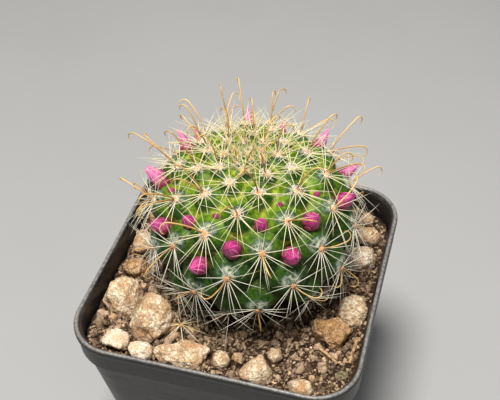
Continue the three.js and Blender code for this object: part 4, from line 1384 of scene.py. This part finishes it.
def wool_finish():
    finish = Finish("white_wool")
    tone = finish.blend(finish.grain(1.0), (240, 232, 204), (252, 250, 240))
    return finish.set(Base_Color=tone, Roughness=0.8, Subsurface_Weight=0.3, Subsurface_Scale=0.3 * MM,
                      Subsurface_Radius=(1.0, 0.95, 0.85))


# %% Areoles in place
cushions = areole_points("areole_cushions", felt_size)
grow(cushions, cushion_growth(), Thickness=0.55, Material=felt_finish())
settle(cushions, None, "cactus_skin")
wool = areole_points("areole_wool", wool_share)
grow(wool, wool_growth(), Fibres=90, Length=1.0 * MM, Thickness=0.045, Seed=2, Material=wool_finish())
settle(wool, None, "cactus_skin")

# %% [markdown]
# ## Flower buds
#
# A closed bud is a bundle of narrow petals wound round each other, each with one edge under its neighbour,
# drawn to a point. A few short wine-coloured outer petals close its foot. One petal is a grid laid on the
# bud's round form, between two turning edges. One edge is lifted and the other tucked, which makes the
# overlap. A Solidify modifier then gives every petal its thickness.

# %% Bud form
PETALS = 7
OUTER_PETALS = 6
PETAL_TWIST = 1.5
PETAL_OVERLAP = 0.15
BUD_FOOT = 0.22
PETAL_ROWS = 13
PETAL_COLUMNS = 7


def bud_swell(t, drawn):
    """Radius of the bud at a share of its length, as a share of its widest radius."""
    closing = 1 - np.maximum(t, 0) ** (3.2 - 1.6 * drawn)
    return closing * (0.58 + 0.42 * np.sin(math.pi / 2 * np.minimum(1, t / 0.38)))


def petal_grid(turn, half_width, ends, lift, drawn):
    """Points of one petal in the bud's own frame, with the way along it and across it."""
    t = np.linspace(-BUD_FOOT, ends, PETAL_ROWS)[:, None]
    u = np.linspace(-1, 1, PETAL_COLUMNS)[None, :]
    narrowing = np.sqrt(np.maximum(0.0, 1 - np.maximum(t / ends, 0) ** 5)) * 0.97 + 0.03
    angle = turn + PETAL_TWIST * t + half_width * narrowing * u
    radius = bud_swell(np.minimum(t, 0.985), drawn) * (1 + lift)
    radius = radius + PETAL_OVERLAP * (u + 1) / 2 - 0.03 * np.abs(u) ** 3
    points = np.stack((radius * np.cos(angle), radius * np.sin(angle), t + 0 * u), axis=-1)
    return points.reshape(-1, 3), (t / ends + 0 * u).ravel(), (u + 0 * t).ravel()


def petal_faces(start):
    """Faces of a petal's grid whose points begin at this number."""
    corners = [start + r * PETAL_COLUMNS + c
               for r in range(PETAL_ROWS - 1) for c in range(PETAL_COLUMNS - 1)]
    return [(p, p + 1, p + PETAL_COLUMNS + 1, p + PETAL_COLUMNS) for p in corners]


def make_bud(bud):
    points, faces, along, across, outer = [], [], [], [], []
    whorls = [(2 * math.pi * k / PETALS, 0.72, 1.0 + 0.03 * (k % 3), 0.0, 0.0) for k in range(PETALS)]
    whorls += [(2 * math.pi * (k + 0.4) / OUTER_PETALS, 0.62, 0.5 + 0.08 * (k % 2), 0.1, 1.0)
               for k in range(OUTER_PETALS)]
    for turn, half_width, ends, lift, wine in whorls:
        grid, t, u = petal_grid(turn + bud["n"], half_width, ends, lift, bud["drawn"])
        faces += petal_faces(len(points))
        points += list(grid)
        along += list(t)
        across += list(u)
        outer += [max(wine, bud["closed"])] * len(grid)
    turned = Vector((0, 0, 1)).rotation_difference(Vector(bud["axis"]))
    axes = np.array(turned.to_matrix())
    breadth = bud["radius"] / (1 + PETAL_OVERLAP)
    sized = np.array(points) * (breadth, breadth, bud["length"])
    placed = sized @ axes.T + bud["foot"]
    piece = add_piece(f"flower_bud_{bud['n']}", placed, faces, along=along, across=across, outer=outer,
                      drawn=[bud["drawn"]] * len(placed))
    shell = piece.modifiers.new("thickness", "SOLIDIFY")
    shell.thickness = 0.07 * bud["radius"]
    shell.offset = 0.0
    bake_modifiers(piece)
    return piece


# %% Bud finish
def bud_finish():
    finish = Finish("bud_petals")
    along = finish.attribute("along")
    edge = finish.calculate("ABSOLUTE", finish.attribute("across"))
    tone = finish.blend(finish.spread(along, 0.2, 0.9), (112, 18, 62), (186, 34, 120))
    tone = finish.blend(finish.spread(finish.grain(2.2, 2.0), 0.42, 0.64, 0.0, 0.4), tone, (164, 84, 124))
    tone = finish.blend(finish.spread(edge, 0.65, 1.0, 0.0, 0.6), tone, (226, 150, 190))
    # Painted shade: the tucked edge of each petal, under its neighbour, is darkened towards wine.
    overlap_shade = finish.spread(finish.attribute("across"), -1.0, -0.45, 0.8, 0.0)
    tone = finish.blend(overlap_shade, tone, (96, 18, 58))
    streak = finish.grain(0.3, 3.0, 0.6)
    tone = finish.blend(finish.spread(streak, 0.5, 0.7, 0.0, 0.35), tone, (226, 140, 184))
    paler = finish.times(finish.attribute("drawn"), finish.spread(along, 0.3, 1.0, 0.25, 0.65))
    tone = finish.blend(paler, tone, (236, 140, 188))
    wine = finish.blend(along, (92, 40, 36), (158, 58, 92))
    tone = finish.blend(finish.attribute("outer"), tone, wine)
    relief = finish.bump(finish.grain(0.25, 3.0), 0.05)
    return finish.set(Base_Color=tone, Roughness=0.42, Normal=relief, Subsurface_Weight=0.15,
                      Subsurface_Scale=0.4 * MM, Subsurface_Radius=(1.0, 0.4, 0.6))


petal_pink = bud_finish()
for bud in buds:
    settle(make_bud(bud), petal_pink, "bud", f"bud_{bud['n']}")

# %% [markdown]
# ## Straws, root hairs and fallen spines
#
# Two dry straws lie on the soil at the right, and fine root hairs run over the crumbs. One spine cluster
# has dropped off the plant and leans on the soil at the front left. All of them are lines too, so the
# spines' sweep makes them.

# %% Straws, hairs and fallen spines
STRAWS = {
    "straw_inner": ((18.6, -13.4), (22.4, -15.8), 0.32),
    "straw_outer": ((24.9, -9.3), (24.6, -15.4), 0.36),
}
STRAW_STEPS = 9
HAIR_STEPS = 9
HAIR_STRIDE = 0.8


def straw_line(start, end, radius):
    """A straw from start to end, both in millimetres: it rests on its ends and its middle bows a little."""
    t = np.linspace(0, 1, STRAW_STEPS)
    x = (start[0] + (end[0] - start[0]) * t) * MM
    y = (start[1] + (end[1] - start[1]) * t) * MM
    ends = soil_height(x[[0, -1]], y[[0, -1]]) + radius * MM
    z = np.interp(t, (0, 1), ends) + 0.25 * MM * np.sin(math.pi * t)
    return np.stack((x, y, z), axis=1)


def straw_finish(name, dark, light):
    finish = Finish(name)
    fibre = finish.grain(0.6, 4.0, 0.7)
    tone = finish.blend(finish.spread(fibre, 0.35, 0.65), dark, light)
    return finish.set(Base_Color=tone, Roughness=0.8, Normal=finish.bump(fibre, 0.06))


def make_hairs(random, count=90):
    lines = Lines()
    half = pot_inside(LEDGE)[0] - 1 * MM
    for _ in range(count):
        place = random.uniform(-half, half, 2)
        heading = random.uniform(0, 2 * math.pi)
        points = []
        for _ in range(HAIR_STEPS):
            height = soil_height(place[0], place[1]) + random.uniform(0.5, 1.3) * MM
            points.append((place[0], place[1], height))
            heading += random.uniform(-0.5, 0.5)
            stride = np.array((math.cos(heading), math.sin(heading))) * HAIR_STRIDE * MM
            place = np.clip(place + stride, -half, half)
        lines.add(np.array(points), random.uniform(0.03, 0.07) * MM, random.uniform())
    return lines


straw_tan = straw_finish("dry_straw", (120, 84, 50), (196, 162, 116))
for node, (start, end, radius) in STRAWS.items():
    lines = Lines()
    lines.add(straw_line(start, end, radius), radius * MM * np.linspace(1.0, 0.8, STRAW_STEPS), 0.5)
    straw = lines.piece(node.replace("straw", "dry_straw"))
    grow(straw, sweep_tree, Sides=10, Material=straw_tan)
    settle(straw, None, "straw", node)
hairs = make_hairs(np.random.default_rng(3)).piece("root_hairs")
grow(hairs, sweep_tree, Sides=4, Material=straw_finish("root_hair", (58, 38, 24), (170, 140, 104)))
settle(hairs, None, "soil")

FALLEN_PLACE = (-7.4 * MM, -16.8 * MM)
FALLEN_HEIGHT = 3.0 * MM
FALLEN_THICKNESS = 0.08 * MM * np.array((1, 0.9, 0.6, 0.15))


def make_fallen(random, count=11, length=5.6 * MM):
    """A dropped spine cluster: its spines fan out and down from a raised middle to the soil."""
    lines = Lines()
    x, y = FALLEN_PLACE
    middle = np.array((x, y, soil_height(x, y) + FALLEN_HEIGHT))
    for k in range(count):
        bearing = 2 * math.pi * (k + random.uniform(-0.4, 0.4)) / count
        reach = length * random.uniform(0.6, 1.0)
        end = middle[:2] + reach * np.array((math.cos(bearing), math.sin(bearing)))
        fall = middle[2] - soil_height(end[0], end[1]) - 0.4 * MM
        tip = np.array((*end, middle[2] - fall * random.uniform(0.1, 1.0)))
        points = middle + (tip - middle) * np.linspace(0, 1, len(FALLEN_THICKNESS))[:, None]
        lines.add(points, FALLEN_THICKNESS, random.uniform(0.3, 1.0))
    return lines


fallen = make_fallen(np.random.default_rng(8)).piece("fallen_spines")
grow(fallen, sweep_tree, Sides=5, Material=bpy.data.materials["cream_spine"])
settle(fallen, None, "cactus_skin")
